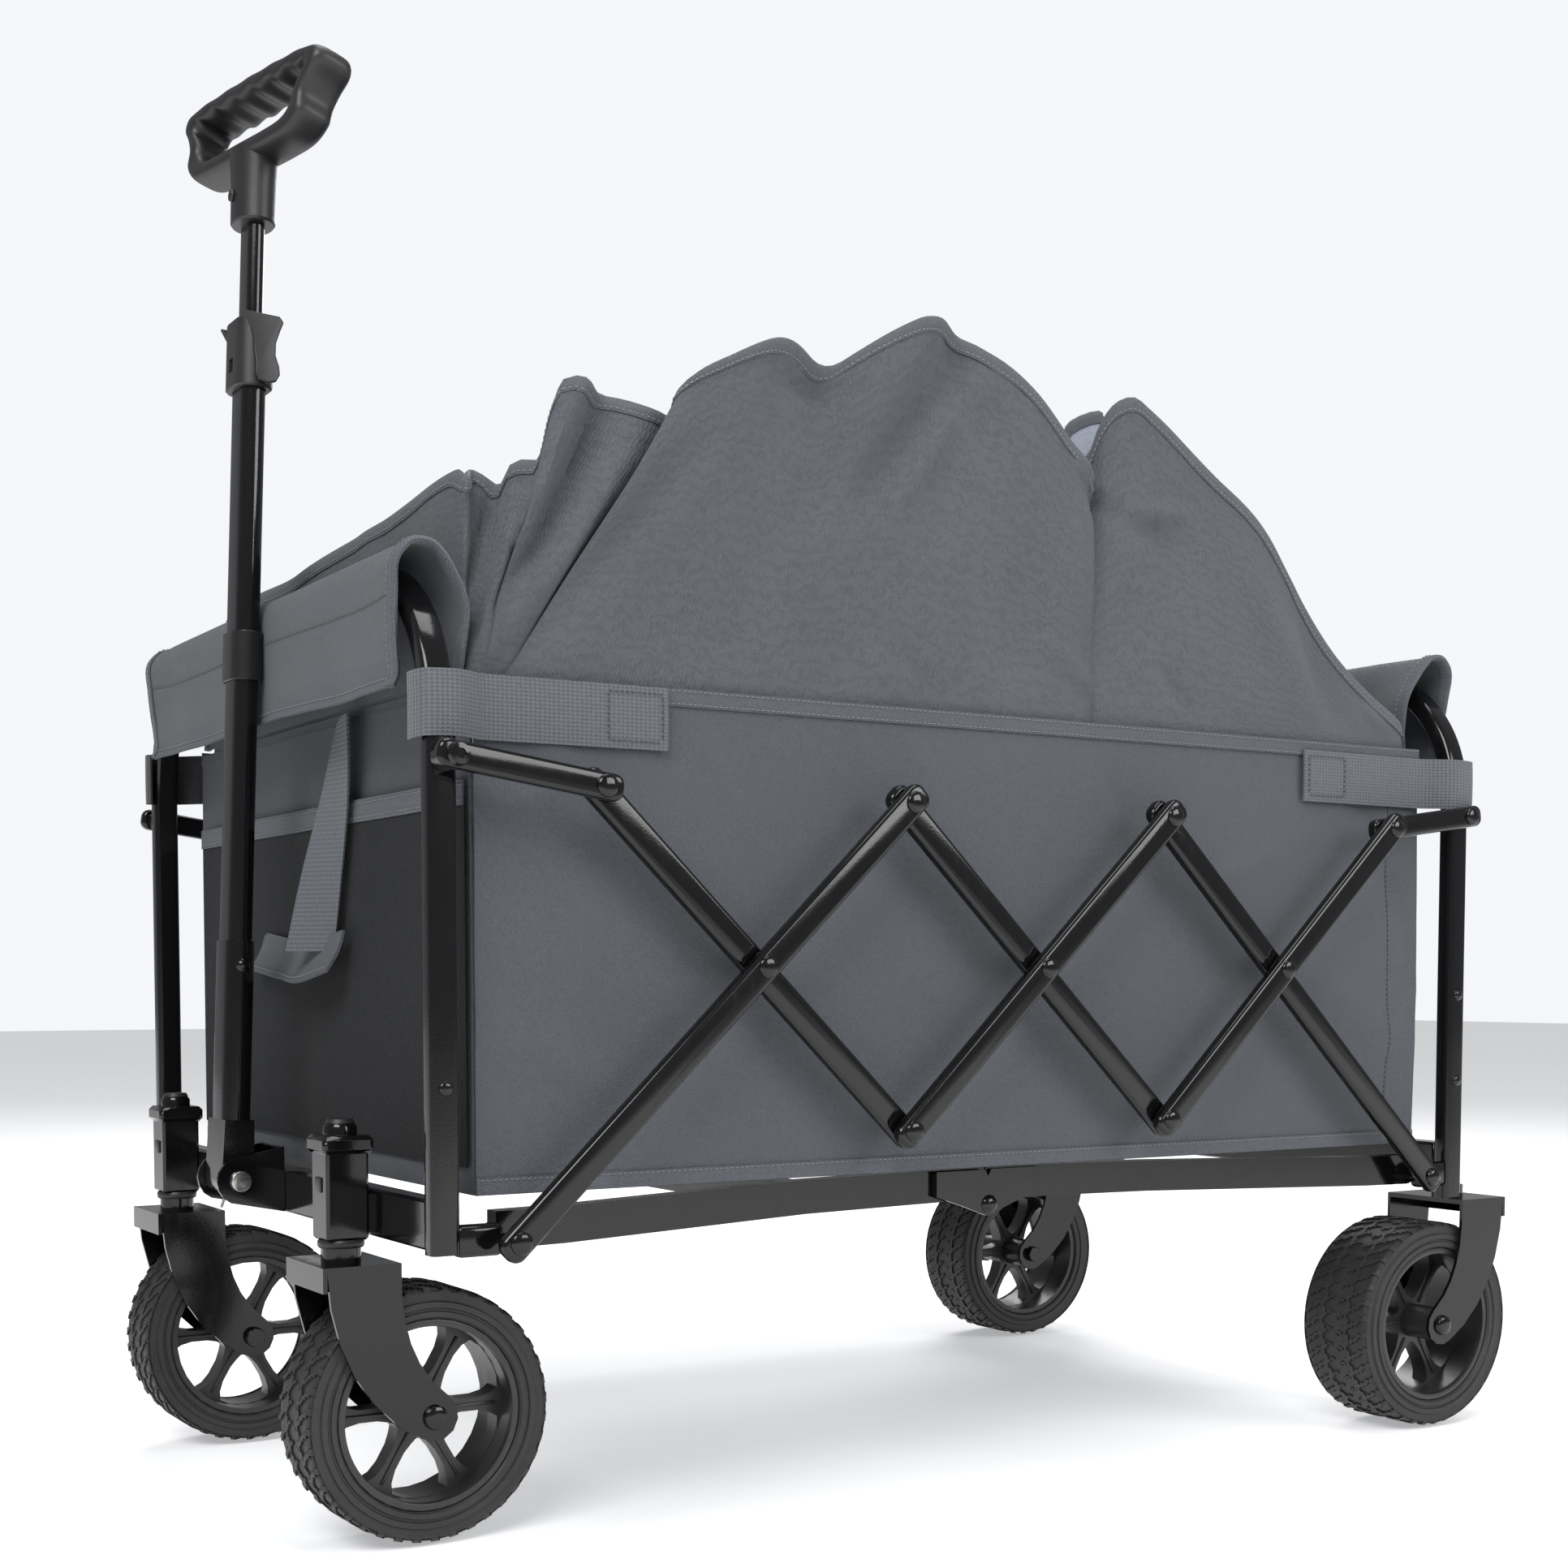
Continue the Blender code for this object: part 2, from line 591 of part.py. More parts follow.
def base_half(sign):
    """One half of the folding base, reaching from its end pins to the middle hinge; sign is its Y side."""
    parts = []
    for _, side in SIDES:
        path = [
            (BASE_END_X, PIN_Y),
            (BASE_END_X, PIN_Y - 0.049),
            (BASE_MID_X, BASE_BEND_Y),
            (BASE_MID_X, 0.0008),
        ]
        outline = ribbon([(side * x, sign * y) for x, y in path], [BASE_THICK / 2] * len(path))
        tube = risen(slab(outline, BASE_LOW, BASE_HIGH, "Z"), sign)
        end_path = [(PIN_Y - 0.02, (BASE_LOW + BASE_HIGH) / 2), (PIN_Y, PIN_Z)]
        end = ribbon(end_path, [0.0125, 0.008], False, True)
        span = sorted((side * (BASE_END_X - BASE_THICK / 2), side * (BASE_END_X + BASE_THICK / 2)))
        nose = slab([(sign * y, z) for y, z in end], span[0], span[1])
        parts += [tube, nose]
        # the front half's cheeks lie outside the rear half's
        layer = 0 if sign > 0 else 1
        face = BASE_MID_X + BASE_THICK / 2 + GAP + layer * (HINGE_CHEEK + GAP)
        plate = [
            (sign * 0.050, MID_HIGH - 0.002),
            (sign * 0.050, MID_LOW + 0.004),
            (sign * 0.026, MID_LOW - 0.004),
        ]
        first, last = (290, 180) if sign > 0 else (250, 360)
        plate += arc((0.0, HINGE_Z), 0.009, first, last, 5)
        plate += [(-sign * 0.009, HINGE_Z + 0.004), (sign * 0.004, MID_HIGH - 0.002)]
        cheek_x = sorted((side * face, side * (face + HINGE_CHEEK)))
        parts.append(slab(plate, cheek_x[0], cheek_x[1]))
        bridge_x = sorted((side * (BASE_MID_X + BASE_THICK / 2 - 0.001), side * (face + 0.0005)))
        bridge_y = sorted((sign * 0.034, sign * 0.049))
        low, high = (bridge_x[0], bridge_y[0], MID_LOW + 0.005), (bridge_x[1], bridge_y[1], MID_HIGH - 0.004)
        parts.append(box(low, high))
    bar_y = sorted((sign * (BASE_BEND_Y - 0.008), sign * (BASE_BEND_Y + 0.008)))
    cross = box((-BASE_MID_X, bar_y[0], BASE_LOW + 0.002), (BASE_MID_X, bar_y[1], BASE_HIGH - 0.002))
    parts.append(risen(cross, sign))
    made = combined(parts[0], parts[1:])
    ends = [rod(-0.4, 0.4, PIN_R + GAP, centre=(0.0, sign * PIN_Y, PIN_Z))]
    if sign < 0:
        ends.append(rod(-0.4, 0.4, PIN_R + GAP, centre=(0.0, 0.0, HINGE_Z)))
        return combined(made, ends, "DIFFERENCE")
    combined(made, ends, "DIFFERENCE")
    outside = BASE_MID_X + BASE_THICK / 2 + 2 * HINGE_CHEEK + 3 * GAP
    pins = []
    for _, side in SIDES:
        pin = rivet(outside, BASE_MID_X + BASE_THICK / 2 + 0.0005, 0.0075, 0.0, HINGE_Z)
        pins.append(pin if side > 0 else placed(pin, Matrix.Scale(-1, 4, (1, 0, 0))))
    return combined(made, pins)


node(base_half(-1), "base_front_frame", "gloss_black_steel", (0.0, -PIN_Y, PIN_Z))
node(base_half(1), "base_rear_frame", "gloss_black_steel", (0.0, 0.0, HINGE_Z))
for label, near, far, origin in (
    ("front", -PIN_Y + 0.028, -0.0012, (0.0, -PIN_Y, PIN_Z)),
    ("rear", 0.0012, PIN_Y - 0.028, (0.0, 0.0, HINGE_Z)),
):
    board = bevelled(box((-FLOOR_HALF, near, FLOOR_LOW), (FLOOR_HALF, far, FLOOR_HIGH)), 0.0015)
    feet = [
        box(
            (-BASE_MID_X - 0.004, y - 0.012, MID_HIGH + GAP),
            (-BASE_MID_X + 0.020, y + 0.012, FLOOR_LOW + 0.001),
        )
        for y in ((near + far) / 2,)
    ]
    feet += [placed(copied(foot), Matrix.Scale(-1, 4, (1, 0, 0))) for foot in feet]
    node(combined(board, feet), f"floor_board_{label}", "floor_felt", origin)

# ---- side scissor linkage ----------------------------------------------------------------------
FIRST_TOP = (-PIN_Y + (BAR_LONG - BAR_SHORT) * math.cos(SLOPE), TOP_Z)
LAST_TOP = (-FIRST_TOP[0], TOP_Z)
TOPS = (FIRST_TOP, (-CROSS_Y / 2, TOP_Z), (CROSS_Y / 2, TOP_Z), LAST_TOP)
LOWS = ((-CROSS_Y / 2, LOW_Z), (CROSS_Y / 2, LOW_Z))
PIN_FRONT, PIN_REAR = (-PIN_Y, PIN_Z), (PIN_Y, PIN_Z)


def bar(start, end, x, thick=BAR_THICK, deep=BAR_DEEP, over=BAR_END):
    """A straight bar between two pins with rounded ends."""
    start, end = Vector(start), Vector(end)
    along = (end - start).normalized()
    path = [start - along * (over - 0.006), end + along * (over - 0.006)]
    outline = ribbon(path, [deep / 2] * 2)
    made = slab(outline, x - thick / 2, x + thick / 2, "X", "bar")
    return bevelled(made, 0.003)


def both_sides(made, name, x, origin):
    """Makes a left piece a node, and its mirror image the right one."""
    twin = placed(copied(made), Matrix.Scale(-1, 4, (1, 0, 0)))
    for label, side, piece in (("left", 1.0, made), ("right", -1.0, twin)):
        node(piece, f"{label}_{name}", "gloss_black_steel", (side * x, *origin))


def scissor(name, start, end, x, pins, holes, heads, origin):
    """A scissor bar with its own rivets, the holes for others' and loose heads at the open pivots."""
    made = bar(start, end, x)
    if holes:
        bores = [rod(x - 0.02, x + 0.02, PIN_R + GAP, centre=(0, y, z)) for y, z in holes]
        combined(made, bores, "DIFFERENCE")
    face = x + BAR_THICK / 2 - 0.0005
    deep = BAR_INNER_X - BAR_THICK / 2 + 0.0005
    parts = [rivet(face, deep, 0.0075, y, z) for y, z in pins]
    parts += [rivet(face, face - 0.002, 0.0075, y, z) for y, z in heads]
    if parts:
        combined(made, parts)
    both_sides(made, name, x, origin)


X1, X2, X3 = [(y, CROSS_Z) for y in (-CROSS_Y, 0.0, CROSS_Y)]
# front outer bar: base pin to the second top pivot
scissor("bar_front_outer", PIN_FRONT, TOPS[1], BAR_OUTER_X, [X1, TOPS[1]], [PIN_FRONT], [], PIN_FRONT)
scissor("bar_front_inner", TOPS[0], LOWS[0], BAR_INNER_X, [], [X1, LOWS[0]], [], X1)
scissor("bar_middle_inner", TOPS[1], LOWS[1], BAR_INNER_X, [], [TOPS[1], X2], [], TOPS[1])
scissor("bar_middle_outer", LOWS[0], TOPS[2], BAR_OUTER_X, [X2, LOWS[0]], [], [TOPS[2]], X2)
scissor("bar_rear_inner", TOPS[2], PIN_REAR, BAR_INNER_X, [], [X3, PIN_REAR], [], PIN_REAR)
scissor("bar_rear_outer", LOWS[1], TOPS[3], BAR_OUTER_X, [X3], [], [LOWS[1], TOPS[3]], X3)


def link(name, post_y, tip, x, tip_head):
    """A short link from a post to the end of the scissor."""
    start = Vector((post_y, LINK_PIN_Z))
    made = bar(start, tip, x, deep=0.018, over=0.012)
    post_face = POST_OUT + 0.0008
    if x > BAR_INNER_X + 0.005:
        boss = rod(post_face, x, 0.0090, centre=(0.0, post_y, LINK_PIN_Z), sides=20)
        combined(made, [boss])
    bore = rod(POST_IN, BAR_OUTER_X + 0.03, PIN_R + GAP, centre=(0.0, post_y, LINK_PIN_Z))
    combined(made, [bore], "DIFFERENCE")
    if tip_head:
        face = x + BAR_THICK / 2 - 0.0005
        combined(made, [rivet(face, face - 0.002, 0.0075, tip[0], tip[1])])
    both_sides(made, name, x, (post_y, LINK_PIN_Z))


link("link_front", -HALF_LENGTH, TOPS[0], BAR_OUTER_X, True)
link("link_rear", HALF_LENGTH, TOPS[3], BAR_INNER_X, False)

# ---- pull handle -------------------------------------------------------------------------------
LEAN = Matrix.Translation(HANDLE_PIN) @ Matrix.Rotation(math.radians(-HANDLE_LEAN_DEG), 4, "X")
CHEEK_X = 0.0225
CHEEK = 0.003
SLEEVE_X, SLEEVE_Y = 0.0205, 0.0110
OUTER_X, OUTER_Y = 0.0185, 0.0092
INNER_X, INNER_Y = 0.0140, 0.0062
SLEEVE_TOP = 0.178
OUTER_LOW, OUTER_TOP = 0.060, 0.591
INNER_LOW, INNER_TOP = 0.245, 0.736
COLLAR_LOW, COLLAR_TOP = 0.584, 0.634
SOCKET_LOW = 0.705
GRIP_LOW, GRIP_HIGH = 0.749, 0.812

cheeks = []
for _, side in SIDES:
    outline = ribbon(
        [(-HALF_LENGTH - POST_DEEP / 2 + 0.0018, HANDLE_PIN.z), (HANDLE_PIN.y, HANDLE_PIN.z)],
        [0.0245, 0.0175],
        False,
        True,
        8,
    )
    span = sorted((side * CHEEK_X, side * (CHEEK_X + CHEEK)))
    cheeks.append(slab(outline, span[0], span[1]))
back_y = -HALF_LENGTH - POST_DEEP / 2 + 0.002 - GAP
web = box((-CHEEK_X - CHEEK, back_y - 0.003, RAIL_LOW + 0.001), (CHEEK_X + CHEEK, back_y, RAIL_HIGH + 0.016))
bracket = combined(web, cheeks)
behind = box((-0.05, back_y, RAIL_LOW - 0.03), (0.05, back_y + 0.02, RAIL_HIGH + 0.05))
combined(bracket, [behind], "DIFFERENCE")
combined(bracket, [rod(-0.05, 0.05, 0.004 + GAP, centre=HANDLE_PIN)], "DIFFERENCE")
node(bracket, "handle_bracket", "gloss_black_steel")

bolt_face = CHEEK_X + CHEEK + GAP
bolt = turned_solid(
    [
        (-bolt_face - 0.005, 0.0),
        (-bolt_face - 0.005, 0.0075),
        (-bolt_face, 0.0080),
        (-bolt_face, 0.004),
        (bolt_face, 0.004),
        (bolt_face, 0.0085),
        (bolt_face + 0.003, 0.0075),
        (bolt_face + 0.004, 0.003),
        (bolt_face + 0.004, 0.0),
    ],
    HANDLE_PIN,
    sides=20,
)
node(bolt, "handle_pivot_bolt", "zinc_steel", HANDLE_PIN)

sleeve = oval_tube(SLEEVE_X, SLEEVE_Y, 0.0016, 0.0, SLEEVE_TOP, "sleeve")
knuckle = ribbon([(0.0, 0.045), (0.0, 0.0)], [SLEEVE_Y, 0.0125], False, True, 8)
combined(sleeve, [slab(knuckle, -SLEEVE_X, SLEEVE_X)])
combined(sleeve, [rod(-0.05, 0.05, 0.004 + GAP)], "DIFFERENCE")
rivet_head = rivet(0.0, -0.001, 0.0055, 0.0, 0.0)
placed(rivet_head, Matrix.Translation((SLEEVE_X - 0.0008, 0.0, 0.160)))
combined(sleeve, [rivet_head])
node(placed(sleeve, LEAN), "handle_base_sleeve", "gloss_black_steel", HANDLE_PIN)

outer_tube = oval_tube(OUTER_X, OUTER_Y, 0.0016, OUTER_LOW, OUTER_TOP, "outer")
node(placed(outer_tube, LEAN), "handle_outer_tube", "gloss_black_steel", HANDLE_PIN)
inner_tube = oval_tube(INNER_X, INNER_Y, 0.0014, INNER_LOW, INNER_TOP, "inner")
node(placed(inner_tube, LEAN), "handle_inner_tube", "gloss_black_steel", HANDLE_PIN)

collar = bevelled(slab(stadium(0.0235, 0.0140, 8), COLLAR_LOW, COLLAR_TOP, "Z"), 0.0012, 1, 60)
combined(
    collar,
    [
        slab(stadium(OUTER_X + GAP, OUTER_Y + GAP, 8), COLLAR_LOW - 0.01, OUTER_TOP + GAP, "Z"),
        slab(stadium(INNER_X + GAP, INNER_Y + GAP, 8), OUTER_TOP, COLLAR_TOP + 0.01, "Z"),
        box((-0.0045, -0.020, COLLAR_LOW + 0.012), (0.0045, -0.0098, COLLAR_LOW + 0.022)),
    ],
    "DIFFERENCE",
)
node(placed(collar, LEAN), "handle_latch_collar", "black_plastic", HANDLE_PIN)

lever_path = [(0.0282, COLLAR_TOP + 0.002), (0.0266, COLLAR_TOP - 0.012), (0.0258, COLLAR_LOW + 0.026)]
lever_path += [(0.0264, COLLAR_LOW + 0.014), (0.0276, COLLAR_LOW + 0.006)]
lever = slab(ribbon(lever_path, [0.0024, 0.0018, 0.0016, 0.0020, 0.0026], True, True, 6), -0.010, 0.016, "Y")
bevelled(lever, 0.0007)
for label, side in SIDES:
    made = placed(copied(lever), Matrix.Scale(side, 4, (1, 0, 0)))
    origin = LEAN @ Vector((side * 0.0256, 0.0, COLLAR_LOW + 0.026))
    node(placed(made, LEAN), f"latch_lever_{label}", "black_plastic", origin)

grip_outline = [
    (0.030, GRIP_LOW),
    (0.066, GRIP_LOW),
    (0.079, GRIP_LOW + 0.005),
    (0.085, GRIP_LOW + 0.014),
    (0.083, GRIP_LOW + 0.024),
    (0.084, GRIP_LOW + 0.032),
    (0.094, GRIP_LOW + 0.041),
    (0.100, GRIP_LOW + 0.050),
    (0.098, GRIP_LOW + 0.058),
    (0.089, GRIP_HIGH - 0.001),
    (0.055, GRIP_HIGH + 0.001),
]
grip_outline = grip_outline + [(-x, z) for x, z in grip_outline[::-1]]
hole_outline = [(0.0, GRIP_LOW + 0.015), (0.045, GRIP_LOW + 0.015), (0.060, GRIP_LOW + 0.018)]
hole_outline += [(0.066, GRIP_LOW + 0.026), (0.068, GRIP_LOW + 0.036), (0.065, GRIP_LOW + 0.042)]
hole_outline += [(0.056, GRIP_LOW + 0.046), (0.042, GRIP_LOW + 0.042), (0.028, GRIP_LOW + 0.046)]
hole_outline += [(0.014, GRIP_LOW + 0.042), (0.0, GRIP_LOW + 0.046)]
hole_outline = hole_outline + [(-x, z) for x, z in hole_outline[-2:0:-1]]
grip = slab(grip_outline, -0.0175, 0.0175, "Y", "grip")
combined(grip, [slab(hole_outline, -0.03, 0.03, "Y")], "DIFFERENCE")
bevelled(grip, 0.0045, 1, 50)
tilt = Matrix.Translation((0, 0, GRIP_LOW + 0.008)) @ Matrix.Rotation(math.radians(-GRIP_TILT_DEG), 4, "X")
turn = Matrix.Rotation(math.radians(GRIP_TURN_DEG), 4, "Z")
placed(grip, turn @ tilt @ Matrix.Translation((0, 0, -GRIP_LOW - 0.008)))
socket = slab(stadium(0.0215, 0.0155, 8), SOCKET_LOW, GRIP_LOW + 0.004, "Z")
combined(grip, [bevelled(socket, 0.0015, 1, 60)])
bore = slab(stadium(INNER_X + GAP, INNER_Y + GAP), SOCKET_LOW - 0.01, INNER_TOP + GAP, "Z")
combined(grip, [bore], "DIFFERENCE")
node(placed(grip, LEAN), "handle_grip", "black_plastic", HANDLE_PIN)

strap = oval_tube(OUTER_X + 0.0028, OUTER_Y + 0.0028, 0.0025, 0.370, 0.406, "strap")
node(placed(strap, LEAN), "handle_strap_band", "webbing", HANDLE_PIN)

# ---- fabric tub --------------------------------------------------------------------------------
for label, side in SIDES:
    span = sorted((side * (TUB_HALF - CLOTH / 2), side * (TUB_HALF + CLOTH / 2)))
    wall = box((span[0], TUB_FRONT, TUB_LOW), (span[1], TUB_REAR, TUB_SEAM))
    node(wall, f"tub_wall_{label}", "slate_fabric")
panel_half = TUB_HALF - CLOTH / 2 - 0.0008
for label, y in (("front", TUB_FRONT), ("rear", TUB_REAR)):
    inward = 1.0 if label == "front" else -1.0
    span = sorted((y, y + inward * CLOTH))
    made = box((-panel_half, span[0], TUB_LOW), (panel_half, span[1], TUB_SEAM))
    node(made, f"tub_panel_{label}", "slate_fabric")

# the mesh pocket hangs on the outside of the front panel
pocket_half = TUB_HALF - 0.006
pocket = box(
    (-pocket_half, TUB_FRONT - 0.0040, TUB_LOW + 0.012),
    (pocket_half, TUB_FRONT - GAP, TUB_SEAM - 0.064),
)
bevelled(pocket, 0.001)
node(pocket, "front_mesh_pocket", "black_mesh")
pull_low = (0.052, TUB_FRONT - 0.0065, TUB_SEAM - 0.182)
pull_high = (0.088, TUB_FRONT - 0.0043, TUB_SEAM - 0.010)
pull = bevelled(box(pull_low, pull_high), 0.0006)
node(pull, "front_pull_strap", "webbing")


FLAP_HALF = HALF_WIDTH - 0.033


def end_flap(y, outward):
    """A flap that comes up from the tub, folds over the arch and hangs down outside it."""
    lead = POST_DEEP / 2 + 0.0022
    over = ARCH_TOP + 0.0055
    inner = [
        (-lead, TUB_SEAM + 0.020),
        (-lead, over - 0.004),
        (-lead + 0.004, over),
        (lead - 0.004, over),
        (lead, over - 0.004),
        (lead, TUB_SEAM - 0.005),
    ]
    path = [(y + outward * along, z) for along, z in inner]
    made = slab(ribbon(path, [0.0014] * len(path)), -FLAP_HALF, FLAP_HALF, "X")
    return made


node(end_flap(-HALF_LENGTH, -1.0), "front_flap", "slate_fabric")
node(end_flap(HALF_LENGTH, 1.0), "rear_flap", "slate_fabric")

# the tall collar above the seam, one band round the tub with a waved top edge
SKIRT_RISE = (
    (-0.400, 0.140),
    (-0.376, 0.188),
    (-0.300, 0.180),
    (-0.255, 0.226),
    (-0.212, 0.240),
    (-0.150, 0.260),
    (-0.090, 0.278),
    (-0.050, 0.260),
    (0.050, 0.198),
    (0.090, 0.242),
    (0.170, 0.218),
    (0.245, 0.162),
    (0.366, 0.063),
)
END_RISE = (0.121, 0.024)
STRETCH = HALF_LENGTH / 0.470
SKIRT_TOP = [(TUB_FRONT + 0.001, TUB_SEAM + END_RISE[0])]
SKIRT_TOP += [(y * STRETCH, TUB_SEAM + rise) for y, rise in SKIRT_RISE]
SKIRT_TOP += [(TUB_REAR - 0.006, TUB_SEAM + END_RISE[1])]
SKIRT_LOW = TUB_SEAM + 0.001


def skirt():
    """The band: a ring of cloth whose top edge rises and falls along the sides."""
    shape = bmesh.new()
    half = TUB_HALF - 0.003
    ring = [(half, y, top) for y, top in SKIRT_TOP] + [(-half, y, top) for y, top in SKIRT_TOP[::-1]]
    lower = [shape.verts.new((x, y, SKIRT_LOW)) for x, y, _ in ring]
    upper = [shape.verts.new((x, y, top)) for x, y, top in ring]
    for i in range(len(ring)):
        shape.faces.new((lower[i - 1], lower[i], upper[i], upper[i - 1]))
    made = from_bmesh("skirt", shape)
    step = made.modifiers.new("thickness", "SOLIDIFY")
    step.thickness = 0.0028
    step.offset = 0.0
    return baked(made)


node(skirt(), "tub_collar", "slate_fabric")

for helper in list(cutters.objects):
    bpy.data.objects.remove(helper, do_unlink=True)
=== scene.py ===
"""Looks of the folding wagon with a pull handle, in metres. +Z is up and -Y is the handle end."""

import logging
import math
from dataclasses import dataclass, field
from enum import Enum
from typing import Any, Iterable, Sequence

import bpy
import numpy as np
from mathutils import Matrix, Vector


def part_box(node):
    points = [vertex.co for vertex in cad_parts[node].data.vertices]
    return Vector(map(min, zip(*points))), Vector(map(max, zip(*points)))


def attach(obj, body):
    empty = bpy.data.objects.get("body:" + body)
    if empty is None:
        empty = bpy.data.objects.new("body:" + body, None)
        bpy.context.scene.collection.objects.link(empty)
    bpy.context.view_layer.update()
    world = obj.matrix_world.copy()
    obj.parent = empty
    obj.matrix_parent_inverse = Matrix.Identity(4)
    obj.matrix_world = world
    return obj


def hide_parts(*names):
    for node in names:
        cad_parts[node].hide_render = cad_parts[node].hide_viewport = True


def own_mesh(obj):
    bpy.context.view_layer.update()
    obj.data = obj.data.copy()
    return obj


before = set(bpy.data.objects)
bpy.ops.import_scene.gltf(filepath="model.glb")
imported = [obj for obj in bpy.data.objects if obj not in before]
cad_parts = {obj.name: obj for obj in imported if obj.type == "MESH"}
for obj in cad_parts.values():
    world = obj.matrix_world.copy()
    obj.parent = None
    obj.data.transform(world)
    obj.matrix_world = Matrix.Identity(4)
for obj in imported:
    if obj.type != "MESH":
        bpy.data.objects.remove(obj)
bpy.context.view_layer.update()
LOG = logging.getLogger("wagon")
Point = tuple[float, float, float]


class Side(Enum):
    """A side of the wagon and its sign along X."""

    LEFT = 1.0
    RIGHT = -1.0


class Gather(Enum):
    """The plane along Y that a cloth piece draws to in the fold, and the share of its length that is left."""

    COLLAR = (-0.441, 0.2066)
    TUB = (-0.5016, 0.2577)  # the raised floor boards push the front panel out between the posts
    REAR_STRAP = (0.470, 0.12)


class End(Enum):
    """An end of the wagon and its sign along Y."""

    FRONT = -1.0
    REAR = 1.0


# ---- shader graph ------------------------------------------------------------------------------
class Wire:
    """A shader socket that Python's operators work on."""

    def __init__(self, graph: "Graph", socket: Any) -> None:
        """Keeps the graph that the socket is in, and the socket."""
        self.graph = graph
        self.socket = socket

    def _maths(self, kind: str, first: Any, second: Any) -> "Wire":
        """A Math node of the given kind on two values."""
        return self.graph.node("ShaderNodeMath", {"operation": kind}, {0: first, 1: second})

    def __add__(self, other: Any) -> "Wire":
        """self + other."""
        return self._maths("ADD", self, other)

    def __mul__(self, other: Any) -> "Wire":
        """self * other."""
        return self._maths("MULTIPLY", self, other)

    def __sub__(self, other: Any) -> "Wire":
        """self - other."""
        return self._maths("SUBTRACT", self, other)

    def __rsub__(self, other: Any) -> "Wire":
        """other - self."""
        return self._maths("SUBTRACT", other, self)

    def __pow__(self, other: Any) -> "Wire":
        """self ** other."""
        return self._maths("POWER", self, other)

    def __gt__(self, other: Any) -> "Wire":
        """1 where self is over other, else 0."""
        return self._maths("GREATER_THAN", self, other)

    __radd__ = __add__
    __rmul__ = __mul__

    def sine(self) -> "Wire":
        """The sine of the value."""
        return self._maths("SINE", self, 0.0)

    def size(self) -> "Wire":
        """The value without its sign."""
        return self._maths("ABSOLUTE", self, 0.0)


